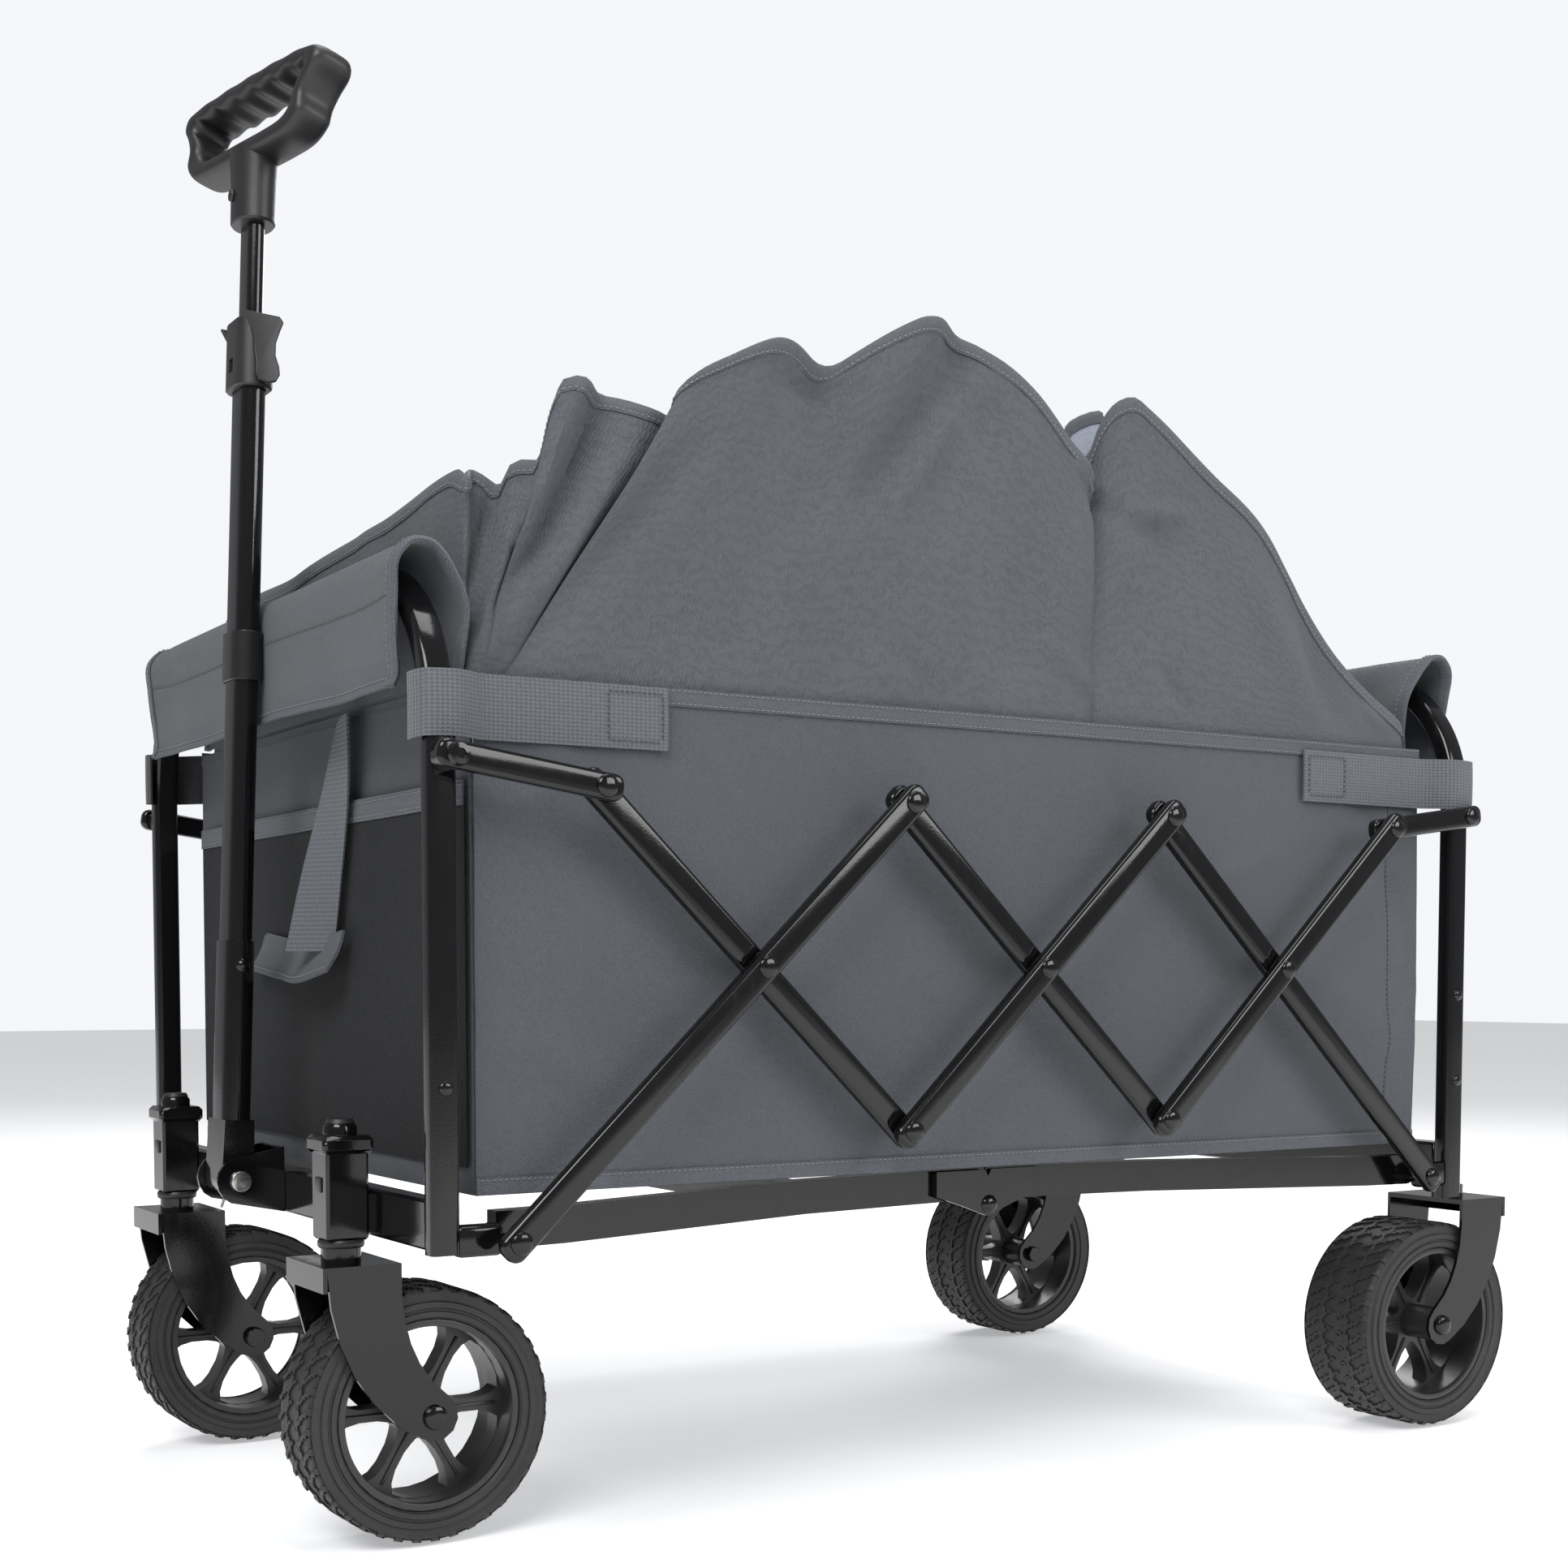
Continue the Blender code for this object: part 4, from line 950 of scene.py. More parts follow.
def stitches(
    name: str, path: np.ndarray, outward: np.ndarray, pitch: float = 0.0042, wide: float = 0.0007,
) -> bpy.types.Object:
    """A row of short raised stitches along a line on cloth.

    Args:
        name: The object's name.
        path: Points of the line.
        outward: The cloth's normal at each point.
        pitch: Distance from stitch to stitch.
        wide: Width of the thread.

    Returns:
        One object with all the stitches.
    """
    run = lengths(path)
    points, faces, spots = [], [], []
    for start in np.arange(pitch * 0.5, run[-1] - pitch * 0.6, pitch):
        ends = [
            np.array([np.interp(s, run, path[:, k]) for k in range(3)])
            for s in (start, start + pitch * 0.68)
        ]
        normal = np.array([np.interp(start, run, outward[:, k]) for k in range(3)])
        normal /= max(np.linalg.norm(normal), 1e-9)
        along = ends[1] - ends[0]
        side = np.cross(normal, along)
        side /= max(np.linalg.norm(side), 1e-9)
        base = len(points)
        for share, swell in ((0.0, 0.35), (0.25, 1.0), (0.75, 1.0), (1.0, 0.35)):
            middle = ends[0] + along * share
            for a, b in ((-1, -0.5), (1, -0.5), (1, 0.5), (-1, 0.5)):
                points.append(middle + side * (a * wide * swell * 0.5) + normal * (b * wide * swell + 0.0002))
        for ring in range(3):
            for k in range(4):
                lower = base + ring * 4
                faces.append((lower + k, lower + (k + 1) % 4, lower + 4 + (k + 1) % 4, lower + 4 + k))
        faces += [tuple(base + k for k in (3, 2, 1, 0)), tuple(base + 12 + k for k in range(4))]
    mesh = bpy.data.meshes.new(name)
    mesh.from_pydata([tuple(p) for p in points], [], faces)
    layer = mesh.uv_layers.new(name="cloth")
    for loop in mesh.loops:
        co = mesh.vertices[loop.vertex_index].co
        spots += [co.y + co.x, co.z]
    layer.data.foreach_set("uv", spots)
    mesh.update()
    made = bpy.data.objects.new(name, mesh)
    bpy.context.scene.collection.objects.link(made)
    outwards(made)
    return smooth(made, 60.0)


def tape_grid(path: np.ndarray, side: Sequence[float], width: float, columns: int = 5) -> np.ndarray:
    """A strip of points along a path, spread across by a fixed direction."""
    across = np.linspace(-0.5, 0.5, columns)[:, None, None] * width * np.array(side)[None, None, :]
    return np.transpose(path[None, :, :] + across, (1, 0, 2))


def crease(
    first: np.ndarray, second: np.ndarray, start: Sequence[float], end: Sequence[float],
    width: float,
) -> np.ndarray:
    """A bump of height 1 along the line from start to end, over two coordinates.

    Args:
        first: The first coordinate of each point.
        second: The second coordinate.
        start: Where the line starts.
        end: Where it ends.
        width: How wide the bump is.

    Returns:
        The height at each point.
    """
    start, end = np.array(start, float), np.array(end, float)
    line = end - start
    share = np.clip(((first - start[0]) * line[0] + (second - start[1]) * line[1]) / (line @ line), 0, 1)
    away = np.hypot(first - start[0] - share * line[0], second - start[1] - share * line[1])
    fade = np.sin(np.pi * np.clip(share * 0.84 + 0.08, 0, 1)) ** 0.5
    return np.exp(-((away / width) ** 2)) * fade


def squashed(obj: bpy.types.Object) -> bpy.types.Object:
    """Gives a cloth piece a mesh of its own.

    Args:
        obj: The finished cloth piece.

    Returns:
        The piece.
    """
    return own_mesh(obj)


# ---- steel frame -------------------------------------------------------------------------------
@dataclass
class SteelFrame:
    """The end arches, rails, base and side linkage: painted tubes and bars with their pins."""

    post_x: float = 0.305
    post_y: float = 0.470
    post_wide: float = 0.016
    post_deep: float = 0.020
    top: float = 0.663
    bend: float = 0.118
    corner: float = 0.0042
    bar_thick: float = 0.010
    bar_over: float = 0.013
    bar_edge: float = 0.0032
    inner_x: float = 0.3202
    outer_x: float = 0.3318
    base_y: float = 0.429
    base_z: float = 0.219
    far_y: float = 0.366
    cross_y: float = 0.244
    near_y: float = 0.122
    link_z: float = 0.527
    low_z: float = 0.2792
    cross_z: float = 0.3958
    high_z: float = 0.5124

    def tube(self, y: float, bottom: float) -> bpy.types.Object:
        """One arch tube bent over the width, swept from a rounded section.

        Args:
            y: Its place along the wagon.
            bottom: The height of its open ends.

        Returns:
            The tube.
        """
        deselect()
        bpy.ops.mesh.primitive_plane_add(size=1.0, location=(self.post_x, y, bottom))
        made = bpy.context.active_object
        made.scale = (self.post_wide, self.post_deep, 1.0)
        fixed(made)
        bpy.ops.object.mode_set(mode="EDIT")
        bpy.ops.mesh.select_all(action="SELECT")
        bpy.ops.mesh.bevel(offset=self.corner, segments=5, affect="VERTICES")
        centre_x = self.post_x + self.post_wide / 2 - self.bend
        centre_z = self.top - self.bend
        bpy.ops.mesh.select_all(action="SELECT")
        self.push((0.0, 0.0, centre_z - bottom))
        bpy.ops.mesh.spin(steps=22, angle=math.pi / 2, center=(centre_x, y, centre_z), axis=(0, 1, 0))
        self.push((-2 * centre_x, 0.0, 0.0))
        bpy.ops.mesh.spin(steps=22, angle=math.pi / 2, center=(-centre_x, y, centre_z), axis=(0, 1, 0))
        self.push((0.0, 0.0, bottom - centre_z))
        bpy.ops.mesh.select_all(action="SELECT")
        bpy.ops.mesh.remove_doubles(threshold=1e-6)
        bpy.ops.mesh.normals_make_consistent(inside=False)
        bpy.ops.object.mode_set(mode="OBJECT")
        return smooth(made, 45.0)

    def push(self, step: Sequence[float]) -> None:
        """Extrudes what is selected by a step."""
        bpy.ops.mesh.extrude_region_move(TRANSFORM_OT_translate={"value": step})

    def rivet(
        self, x: float, y: float, z: float, radius: float = 0.0078, tall: float = 0.0032,
    ) -> bpy.types.Object:
        """A domed rivet head that stands on the plane at x and points outwards.

        Args:
            x: The plane that it stands on.
            y: Its middle along the wagon.
            z: Its middle's height.
            radius: The radius of the head.
            tall: The height of the head.

        Returns:
            The head.
        """
        away = math.copysign(1.0, x)
        dome = [(0.0, 0.0), (0.0, radius), (tall * 0.35, radius * 0.97)]
        dome += [
            (tall * (0.35 + 0.65 * math.sin(math.radians(a))), radius * 0.97 * math.cos(math.radians(a)))
            for a in (25, 50, 70)
        ]
        dome += [(tall, 0.0)]
        return turned([(along * away, r) for along, r in dome], (x, y, z), "X", 28)

    def arch(self, end: End) -> None:
        """An end arch with its base stubs, link pins and post rivets.

        Args:
            end: The end of the wagon.
        """
        y = self.post_y * end.value
        parts = [self.tube(y, 0.211 if end is End.FRONT else 0.1973)]
        toward = -end.value
        pin_x = 0.3371 if end is End.FRONT else 0.3255
        base_y = y + toward * (self.post_y - self.base_y)
        for side in Side:
            s = side.value
            x_span = sorted((s * 0.2985, s * 0.3115))
            y_span = sorted((y + toward * 0.008, base_y))
            parts.append(block((x_span[0], y_span[0], 0.2085), (x_span[1], y_span[1], 0.2295), 0.004, 3))
            for start_x, pin_y, pin_z in ((0.283, base_y, self.base_z), (0.309, y, self.link_z)):
                pin = [(start_x * s, 0.0), (start_x * s, 0.004), (pin_x * s, 0.004), (pin_x * s, 0.0)]
                parts.append(turned(pin, (0, pin_y, pin_z), "X", 24))
                parts.append(self.rivet(pin_x * s, pin_y, pin_z))
            for z in (0.374, 0.300) if end is End.REAR else (0.318,):
                parts.append(self.rivet(0.313 * s, y, z, 0.0048, 0.0022))
        name = f"{end.name.lower()}_arch"
        made = joined(name + "_tube", parts)
        settle(made, STEEL, f"{end.name.lower()}_frame", [name])

    def bar(
        self, start: tuple[float, float], end: tuple[float, float], x: float, deep: float,
    ) -> bpy.types.Object:
        """A straight tube flattened at its rounded ends, between two pins given as (y, z).

        Args:
            start: The first pin.
            end: The second pin.
            x: The middle of the bar across the wagon.
            deep: The bar's depth.

        Returns:
            The bar.
        """
        first, second = Vector((0.0, *start)), Vector((0.0, *end))
        line = second - first
        reach = line.length / 2 + self.bar_over
        deselect()
        bpy.ops.mesh.primitive_cube_add(size=1.0)
        made = bpy.context.active_object
        made.scale = (self.bar_thick, 2 * reach, deep)
        fixed(made)
        bpy.ops.object.mode_set(mode="EDIT")
        bpy.ops.mesh.select_mode(type="EDGE")
        bpy.ops.mesh.select_all(action="DESELECT")
        bpy.ops.object.mode_set(mode="OBJECT")
        for edge in made.data.edges:
            a, b = (made.data.vertices[i].co for i in edge.vertices)
            edge.select = abs(a.x - b.x) > self.bar_thick / 2
        bpy.ops.object.mode_set(mode="EDIT")
        bpy.ops.mesh.bevel(offset=deep * 0.38, segments=6)
        bpy.ops.object.mode_set(mode="OBJECT")
        round_edges(made, self.bar_edge, 4, 50.0)
        middle = (first + second) / 2
        turn = Matrix.Rotation(math.atan2(line.z, line.y), 4, "X")
        made.data.transform(Matrix.Translation((x, middle.y, middle.z)) @ turn)
        return smooth(made, 40.0)

    def link_bars(self) -> None:
        """The scissor bars and links of both sides, with their domed rivets."""
        inner, outer = self.inner_x, self.outer_x
        face = outer + self.bar_thick / 2 - 0.0002
        base_y, far_y, cross_y, near_y = self.base_y, self.far_y, self.cross_y, self.near_y
        low, cross, high = self.low_z, self.cross_z, self.high_z
        deep, link_deep = 0.020, 0.018
        front_heads = [(-cross_y, cross), (-near_y, high)]
        middle_heads = [(0.0, cross), (-near_y, low), (near_y, high)]
        rear_heads = [(cross_y, cross), (near_y, low), (far_y, high)]
        table = {
            "bar_front_outer": ((-base_y, self.base_z), (-near_y, high), outer, deep, front_heads),
            "bar_front_inner": ((-far_y, high), (-near_y, low), inner, deep, []),
            "bar_middle_inner": ((-near_y, high), (near_y, low), inner, deep, []),
            "bar_middle_outer": ((-near_y, low), (near_y, high), outer, deep, middle_heads),
            "bar_rear_inner": ((near_y, high), (base_y, self.base_z), inner, deep, []),
            "bar_rear_outer": ((near_y, low), (far_y, high), outer, deep, rear_heads),
            "link_front": ((-self.post_y, self.link_z), (-far_y, high), outer, link_deep, [(-far_y, high)]),
            "link_rear": ((self.post_y, self.link_z), (far_y, high), inner, link_deep, []),
        }
        for bar, (start, end, x, deep, heads) in table.items():
            parts = [self.bar(start, end, x, deep)]
            parts += [self.rivet(face, y, z) for y, z in heads]
            if heads:
                pins = [
                    (self.post_x + 0.0122, 0.0), (self.post_x + 0.0122, 0.0038), (face, 0.0038),
                    (face, 0.0),
                ]
                parts += [turned(pins, (0, y, z), "X", 20) for y, z in heads]
            if bar == "link_front":
                boss = [(0.3138, 0.0), (0.3138, 0.009), (0.328, 0.009), (0.328, 0.0)]
                parts.append(turned(boss, (0, -self.post_y, self.link_z), "X", 28))
            left = joined(f"left_{bar}_tube", parts)
            right = twin(left, f"right_{bar}_tube", MIRROR)
            for side, made in (("left", left), ("right", right)):
                name = f"{side}_{bar}"
                settle(made, STEEL, name, [name])

    def build(self) -> None:
        """All the steel of the two frames and the base."""
        for end in End:
            self.arch(end)
        for node, body in (
            ("front_cross_rail", "front_frame"), ("rear_cross_rail", "rear_frame"),
            ("base_front_frame", "base_front"), ("base_rear_frame", "base_rear"),
        ):
            settle(refined(node, 0.0009, 40.0), STEEL, body, [node])
        self.link_bars()
        self.socket_marks()
        self.link_bolts()

    def socket_marks(self) -> None:
        """The rings and the small square catch on each caster socket."""
        for side in Side:
            x = 0.193 * side.value
            rings = [
                turned(
                    [
                        (0.2062, 0.0), (0.2062, 0.0150), (0.2075, 0.0158), (0.2105, 0.0158),
                        (0.2118, 0.0150), (0.2118, 0.0),
                    ],
                    (x, -0.4965, 0.0), "Z", 36,
                ),
                block((x - 0.0052, -0.5128, 0.2440), (x + 0.0052, -0.5108, 0.2544), 0.0008),
                turned(
                    [(0.2905, 0.0), (0.2905, 0.0102), (0.2932, 0.0086), (0.2936, 0.0)],
                    (x, -0.4965, 0.0), "Z", 32,
                ),
            ]
            made = joined(f"caster_cap_{side.name.lower()}", rings)
            settle(made, PLASTIC, "front_frame")

    def link_bolts(self) -> None:
        """The socket bolt on the post end of each front link."""
        for side in Side:
            s = side.value
            bolt = turned(
                [
                    (0.3392 * s, 0.0), (0.3392 * s, 0.0074), (0.3412 * s, 0.0066),
                    (0.3418 * s, 0.0034), (0.3405 * s, 0.0030), (0.3405 * s, 0.0),
                ],
                (0.0, -self.post_y, self.link_z), "X", 24,
            )
            bolt.name = f"link_bolt_{side.name.lower()}"
            settle(bolt, STEEL, "front_frame")


# ---- wheels ------------------------------------------------------------------------------------
@dataclass
class Wheel:
    """A tyre with its tread, a spoked rim, its fork and its axle bolt."""

    end: End
    side: Side
    radius: float = 0.090
    bore: float = 0.066
    tread: float = 0.0016
    pitches: int = 40
    steps: int = 240
    half: float = field(init=False)
    centre: Vector = field(init=False)

    def __post_init__(self) -> None:
        """Sets the width and the place from the end and the side."""
        front = self.end is End.FRONT
        self.half = 0.031 if front else 0.0365
        self.centre = Vector(
            ((0.193 if front else 0.282) * self.side.value, -0.4445 if front else 0.445, self.radius)
        )

    @property
    def label(self) -> str:
        """The first part of the names of this wheel's pieces."""
        return f"{self.end.name.lower()}_{self.side.name.lower()}"

    def profile(self) -> list[tuple[float, float]]:
        """Half of the tyre's outline as (across, radius), from the bore to the middle of the tread.

        Returns:
            The points of the outline.
        """
        h, base = self.half, self.radius - self.tread
        side = [
            (h - 0.0022, self.bore + 0.0004), (h - 0.0004, self.bore + 0.0018),
            (h - 0.0002, self.bore + 0.0052),
            (h - 0.0016, self.bore + 0.0058), (h - 0.0016, self.bore + 0.0072),
            (h - 0.0003, self.bore + 0.0080),
            (h - 0.0003, self.bore + 0.0118), (h - 0.0020, self.bore + 0.0126), (h - 0.0022, base - 0.0042),
            (h - 0.0010, base - 0.0024), (h - 0.0040, base - 0.0004),
        ]
        columns = 12
        return side + [((h - 0.0075) * (1 - i / columns), base) for i in range(columns)] + [(0.0, base)]

    def tyre(self) -> bpy.types.Object:
        """The tyre: a spun carcass whose tread faces are picked by a pattern and pushed out.

        Returns:
            The tyre, centred on the axle.
        """
        half = self.profile()
        ring = half + [(-x, r) for x, r in half[-2::-1]]
        made = turned(ring, (0, 0, 0), "X", self.steps)
        mesh = made.data
        activate(made)
        bpy.ops.object.mode_set(mode="EDIT")
        bpy.ops.mesh.select_all(action="DESELECT")
        bpy.ops.object.mode_set(mode="OBJECT")
        floor = self.radius - self.tread
        for face in mesh.polygons:
            spot = face.center
            radius = math.hypot(spot.y, spot.z)
            turn = (math.atan2(spot.z, spot.y) / (2 * math.pi) * self.pitches) % 1.0
            face.select = radius > floor - 0.0030 and self.raised(spot.x / self.half, turn)
        bpy.ops.object.mode_set(mode="EDIT")
        bpy.ops.mesh.select_mode(type="FACE")
        bpy.ops.mesh.extrude_region_shrink_fatten(TRANSFORM_OT_shrink_fatten={"value": -self.tread * 0.92})
        bpy.ops.object.mode_set(mode="OBJECT")
        self.keep_inside(mesh)
        made.name = f"{self.label}_tread_tyre"
        return smooth(made, 32.0)

    def keep_inside(self, mesh: bpy.types.Mesh) -> None:
        """Holds every point within the tyre's radius and width.

        Args:
            mesh: The tyre's mesh.
        """
        for vertex in mesh.vertices:
            radius = math.hypot(vertex.co.y, vertex.co.z)
            if radius > self.radius:
                vertex.co.y *= self.radius / radius
                vertex.co.z *= self.radius / radius
            vertex.co.x = max(-self.half, min(self.half, vertex.co.x))

    def raised(self, across: float, turn: float) -> bool:
        """Whether the tread stands up at a place: shoulder blocks, zigzag ribs and slanted bars between.

        Args:
            across: Place over the width, -1 to 1.
            turn: Place within one pitch, 0 to 1.
        """
        size = abs(across)
        wave = 0.05 * (1 - 4 * abs(turn - 0.5))
        slant = (turn + 1.5 * size * math.copysign(1.0, across) + (0.35 if across > 0 else 0.0)) % 1.0
        if size > 0.40 + wave:
            return slant < 0.72
        return size < 0.30 + wave and (slant < 0.80 or size < 0.08)

    def ribs(self) -> list[bpy.types.Object]:
        """The thin rib down each spoke and the raised ring round the hub.

        Returns:
            The pieces, centred on the axle.
        """
        parts = []
        for spoke in range(6):
            rib = block((-0.0095, -0.0011, 0.017), (0.0095, 0.0011, 0.0565), 0.0007)
            rib.data.transform(Matrix.Rotation(math.radians(spoke * 60.0) - math.pi / 2, 4, "X"))
            parts.append(rib)
        out = self.half + 0.0012
        parts.append(
            turned([(out - 0.004, 0.0), (out - 0.004, 0.0130), (out, 0.0122), (out, 0.0)], (0, 0, 0), "X", 40)
        )
        lip = self.half - 0.0030
        outline = [
            (lip - 0.003, 0.0605), (lip + 0.0006, 0.0612), (lip + 0.0012, 0.0632),
            (lip + 0.0006, 0.0656), (lip - 0.003, 0.0657),
        ]
        parts.append(turned(outline, (0, 0, 0), "X", 96))
        return parts

    def build(self) -> None:
        """Makes the wheel's pieces and gives them their bodies."""
        place = Matrix.Translation(self.centre)
        turn = Matrix() if self.side is Side.LEFT else Matrix.Rotation(math.pi, 4, "Z")
        tyre = self.tyre()
        tyre.data.transform(place @ turn)
        wheel = f"{self.label}_wheel"
        settle(tyre, RUBBER, wheel, [f"{self.label}_tyre"])
        extra = self.ribs()
        for part in extra:
            part.data.transform(place @ turn)
        rim = joined(f"{self.label}_spoked_rim", [refined(f"{self.label}_rim", 0.0007, 38.0), *extra])
        settle(rim, RIM_PLASTIC, wheel, [f"{self.label}_rim"])
        body = f"{self.label}_caster" if self.end is End.FRONT else "rear_frame"
        for piece in ("fork", "axle"):
            node = f"{self.label}_{piece}"
            settle(refined(node, 0.0014 if piece == "fork" else 0.0006, 40.0, 3), STEEL, body, [node])


# ---- pull handle -------------------------------------------------------------------------------
@dataclass
class PullHandle:
    """The telescopic handle: bracket, tubes, latch collar, levers, grip, spring and bolt."""

    pin: Vector = field(default_factory=lambda: Vector((0.0, -0.512, 0.238)))
    lean: float = math.radians(-2.2)
    spring_wire: float = 0.0011
    grip_low: float = 0.749
    grip_tilt: float = math.radians(-11.0)

    @property
    def stand(self) -> Matrix:
        """From the handle's own upright frame to its place."""
        return Matrix.Translation(self.pin) @ Matrix.Rotation(self.lean, 4, "X")

    def grip(self) -> None:
        """The moulded D grip with its finger waves, its oval socket and the socket's screw."""
        high, low = self.grip_low + 0.063, self.grip_low
        outer = [
            (0.0, low), (0.045, low), (0.070, low + 0.0025), (0.0835, low + 0.013),
            (0.0835, low + 0.026), (0.089, low + 0.037),
            (0.0985, low + 0.049), (0.0960, low + 0.0575), (0.080, high - 0.0015),
            (0.040, high + 0.001), (0.0, high + 0.0015),
        ]
        inner = [
            (0.0, low + 0.0135), (0.040, low + 0.0135), (0.058, low + 0.0155),
            (0.0665, low + 0.022), (0.0685, low + 0.029), (0.0725, low + 0.036),
            (0.0785, low + 0.043), (0.0760, low + 0.0485), (0.066, low + 0.0505),
            (0.036, low + 0.0500), (0.0, low + 0.0505),
        ]
        count, around = 240, 28
        rings = []
        for outline in (outer, inner):
            loop = outline + [(-x, z) for x, z in outline[-2:0:-1]] + outline[:1]
            rings.append(curve_through([(x, 0.0, z) for x, z in loop], count + 1)[:-1])
        edge, hole = rings
        top = np.clip((hole[:, 2] - low - 0.047) / 0.003, 0, 1)
        hole[:, 2] += top * 0.0016 * np.cos(2 * np.pi * hole[:, 0] / 0.026)
        middle, reach = (edge + hole) / 2, (edge - hole) / 2
        depth = 0.0155 + 0.0015 * np.clip((middle[:, 2] - low - 0.03) / 0.03, -1, 1)
        sweep = np.linspace(0, 2 * np.pi, around, endpoint=False)[:, None]
        boxy = [np.sign(f(sweep)) * np.abs(f(sweep)) ** 0.62 for f in (np.cos, np.sin)]
        grid = (
            middle[None] + boxy[0][..., None] * reach[None]
            + boxy[1][..., None] * depth[None, :, None] * np.array([0.0, 1.0, 0.0])
        )
        grid = np.concatenate([grid, grid[:1]], axis=0)
        loop_piece = grid_mesh("grip_loop", grid, True)
        activate(loop_piece)
        bpy.ops.object.mode_set(mode="EDIT")
        bpy.ops.mesh.select_all(action="SELECT")
        bpy.ops.mesh.remove_doubles(threshold=1e-6)
        bpy.ops.mesh.normals_make_consistent(inside=False)
        bpy.ops.object.mode_set(mode="OBJECT")
        up, down = Matrix.Translation((0, 0, low + 0.008)), Matrix.Translation((0, 0, -low - 0.008))
        tilt = up @ Matrix.Rotation(self.grip_tilt, 4, "X") @ down
        loop_piece.data.transform(Matrix.Rotation(-self.grip_tilt, 4, "Z") @ tilt)
        smooth(loop_piece, 60.0)
        profile = [
            (0.705, 0.0), (0.705, 0.0200), (0.7065, 0.0215), (0.735, 0.0219), (0.7500, 0.0232),
            (0.7580, 0.0238), (0.7580, 0.0),
        ]
        socket = turned(profile, (0, 0, 0), "Z", 64)
        socket.data.transform(Matrix.Diagonal((1.0, 0.72, 1.0, 1.0)))
        made = joined("handle_moulded_grip", [loop_piece, socket])
        made.data.transform(self.stand)
        settle(
            made, MouldedPlastic((0.0105, 0.0105, 0.0112), 0.36, 0.00016), "handle_upper",
            ["handle_grip"],
        )
        head = [
            (-0.0150, 0.0), (-0.0150, 0.0034), (-0.0166, 0.0044), (-0.0178, 0.0040),
            (-0.0180, 0.0022), (-0.0172, 0.0020), (-0.0172, 0.0),
        ]
        screw = turned(head, (0.0, 0.0, 0.724), "Y", 32)
        screw.data.transform(self.stand)
        screw.name = "grip_screw"
        settle(screw, PLASTIC, "handle_upper")

    def spring(self) -> None:
        """The torsion spring's coil and leg beside the bracket's cheek."""
        turns, radius = 3.5, 0.0068
        count = 84
        points = []
        for i in range(count + 1):
            angle = 2 * math.pi * turns * i / count
            points.append(
                Vector(
                    (0.0155 + 0.0062 * i / count, radius * math.cos(angle), radius * math.sin(angle))
                ) + self.pin
            )
        points.append(self.pin + Vector((0.0222, -0.0135, -0.0190)))
        points.insert(0, self.pin + Vector((0.0150, 0.0060, 0.0220)))
        data = bpy.data.curves.new("handle_spring", "CURVE")
        data.dimensions = "3D"
        data.bevel_depth = self.spring_wire
        data.bevel_resolution = 3
        data.use_fill_caps = True
        line = data.splines.new("POLY")
        line.points.add(len(points) - 1)
        for knot, spot in zip(line.points, points):
            knot.co = (*spot, 1.0)
        made = bpy.data.objects.new("handle_spring", data)
        bpy.context.scene.collection.objects.link(made)
        activate(made)
        bpy.ops.object.convert(target="MESH")
        smooth(bpy.context.active_object, 50.0)
        settle(bpy.context.active_object, ZINC, "front_frame")

    def bolt(self) -> None:
        """The pivot bolt with a crossed recess."""
        made = refined("handle_pivot_bolt", 0.0004, 30.0)
        settle(made, ZINC, "front_frame", ["handle_pivot_bolt"])

    def band(self) -> None:
        """The glossy strap band round the outer tube."""
        made = refined("handle_strap_band", 0.0008, 40.0)
        settle(
            made, MouldedPlastic((0.008, 0.008, 0.0085), 0.16, 0.00003), "handle_lower",
            ["handle_strap_band"],
        )

    def latch(self) -> None:
        """The latch collar and its two wing levers."""
        outline = [
            (-0.0140, 0.6345), (0.0125, 0.6345), (0.0160, 0.6310), (0.0135, 0.6240),
            (0.0108, 0.6150), (0.0108, 0.6060), (0.0135, 0.5985),
            (0.0140, 0.5925), (0.0110, 0.5870), (0.0050, 0.5850), (-0.0015, 0.5865),
            (-0.0045, 0.5920), (-0.0040, 0.5990),
            (-0.0055, 0.6080), (-0.0060, 0.6170), (-0.0085, 0.6250),
        ]
        for side in Side:
            label = side.name.lower()
            node = f"latch_lever_{label}"
            inner, outer = sorted((0.0242 * side.value, 0.0286 * side.value))
            made = plate(outline, inner, outer, 0.0012)
            for vertex in made.data.vertices:
                flare = ((vertex.co.z - 0.612) / 0.024) ** 2
                vertex.co.x += side.value * (0.0016 * flare - 0.0004)
            made.data.transform(self.stand)
            made.name = f"{node}_wing"
            settle(made, PLASTIC, f"latch_{label}", [node])
        made = refined("handle_latch_collar", 0.0008, 40.0)
        settle(made, PLASTIC, "handle_lower", ["handle_latch_collar"])

    def build(self) -> None:
        """Makes the handle's pieces."""
        for node, body, edge in (
            ("handle_bracket", "front_frame", 0.0007), ("handle_base_sleeve", "handle_lower", 0.0004),
            ("handle_outer_tube", "handle_lower", 0.0003), ("handle_inner_tube", "handle_upper", 0.0003),
        ):
            settle(refined(node, edge, 40.0), STEEL, body, [node])
        self.grip()
        self.latch()
        self.band()
        self.bolt()
        self.spring()


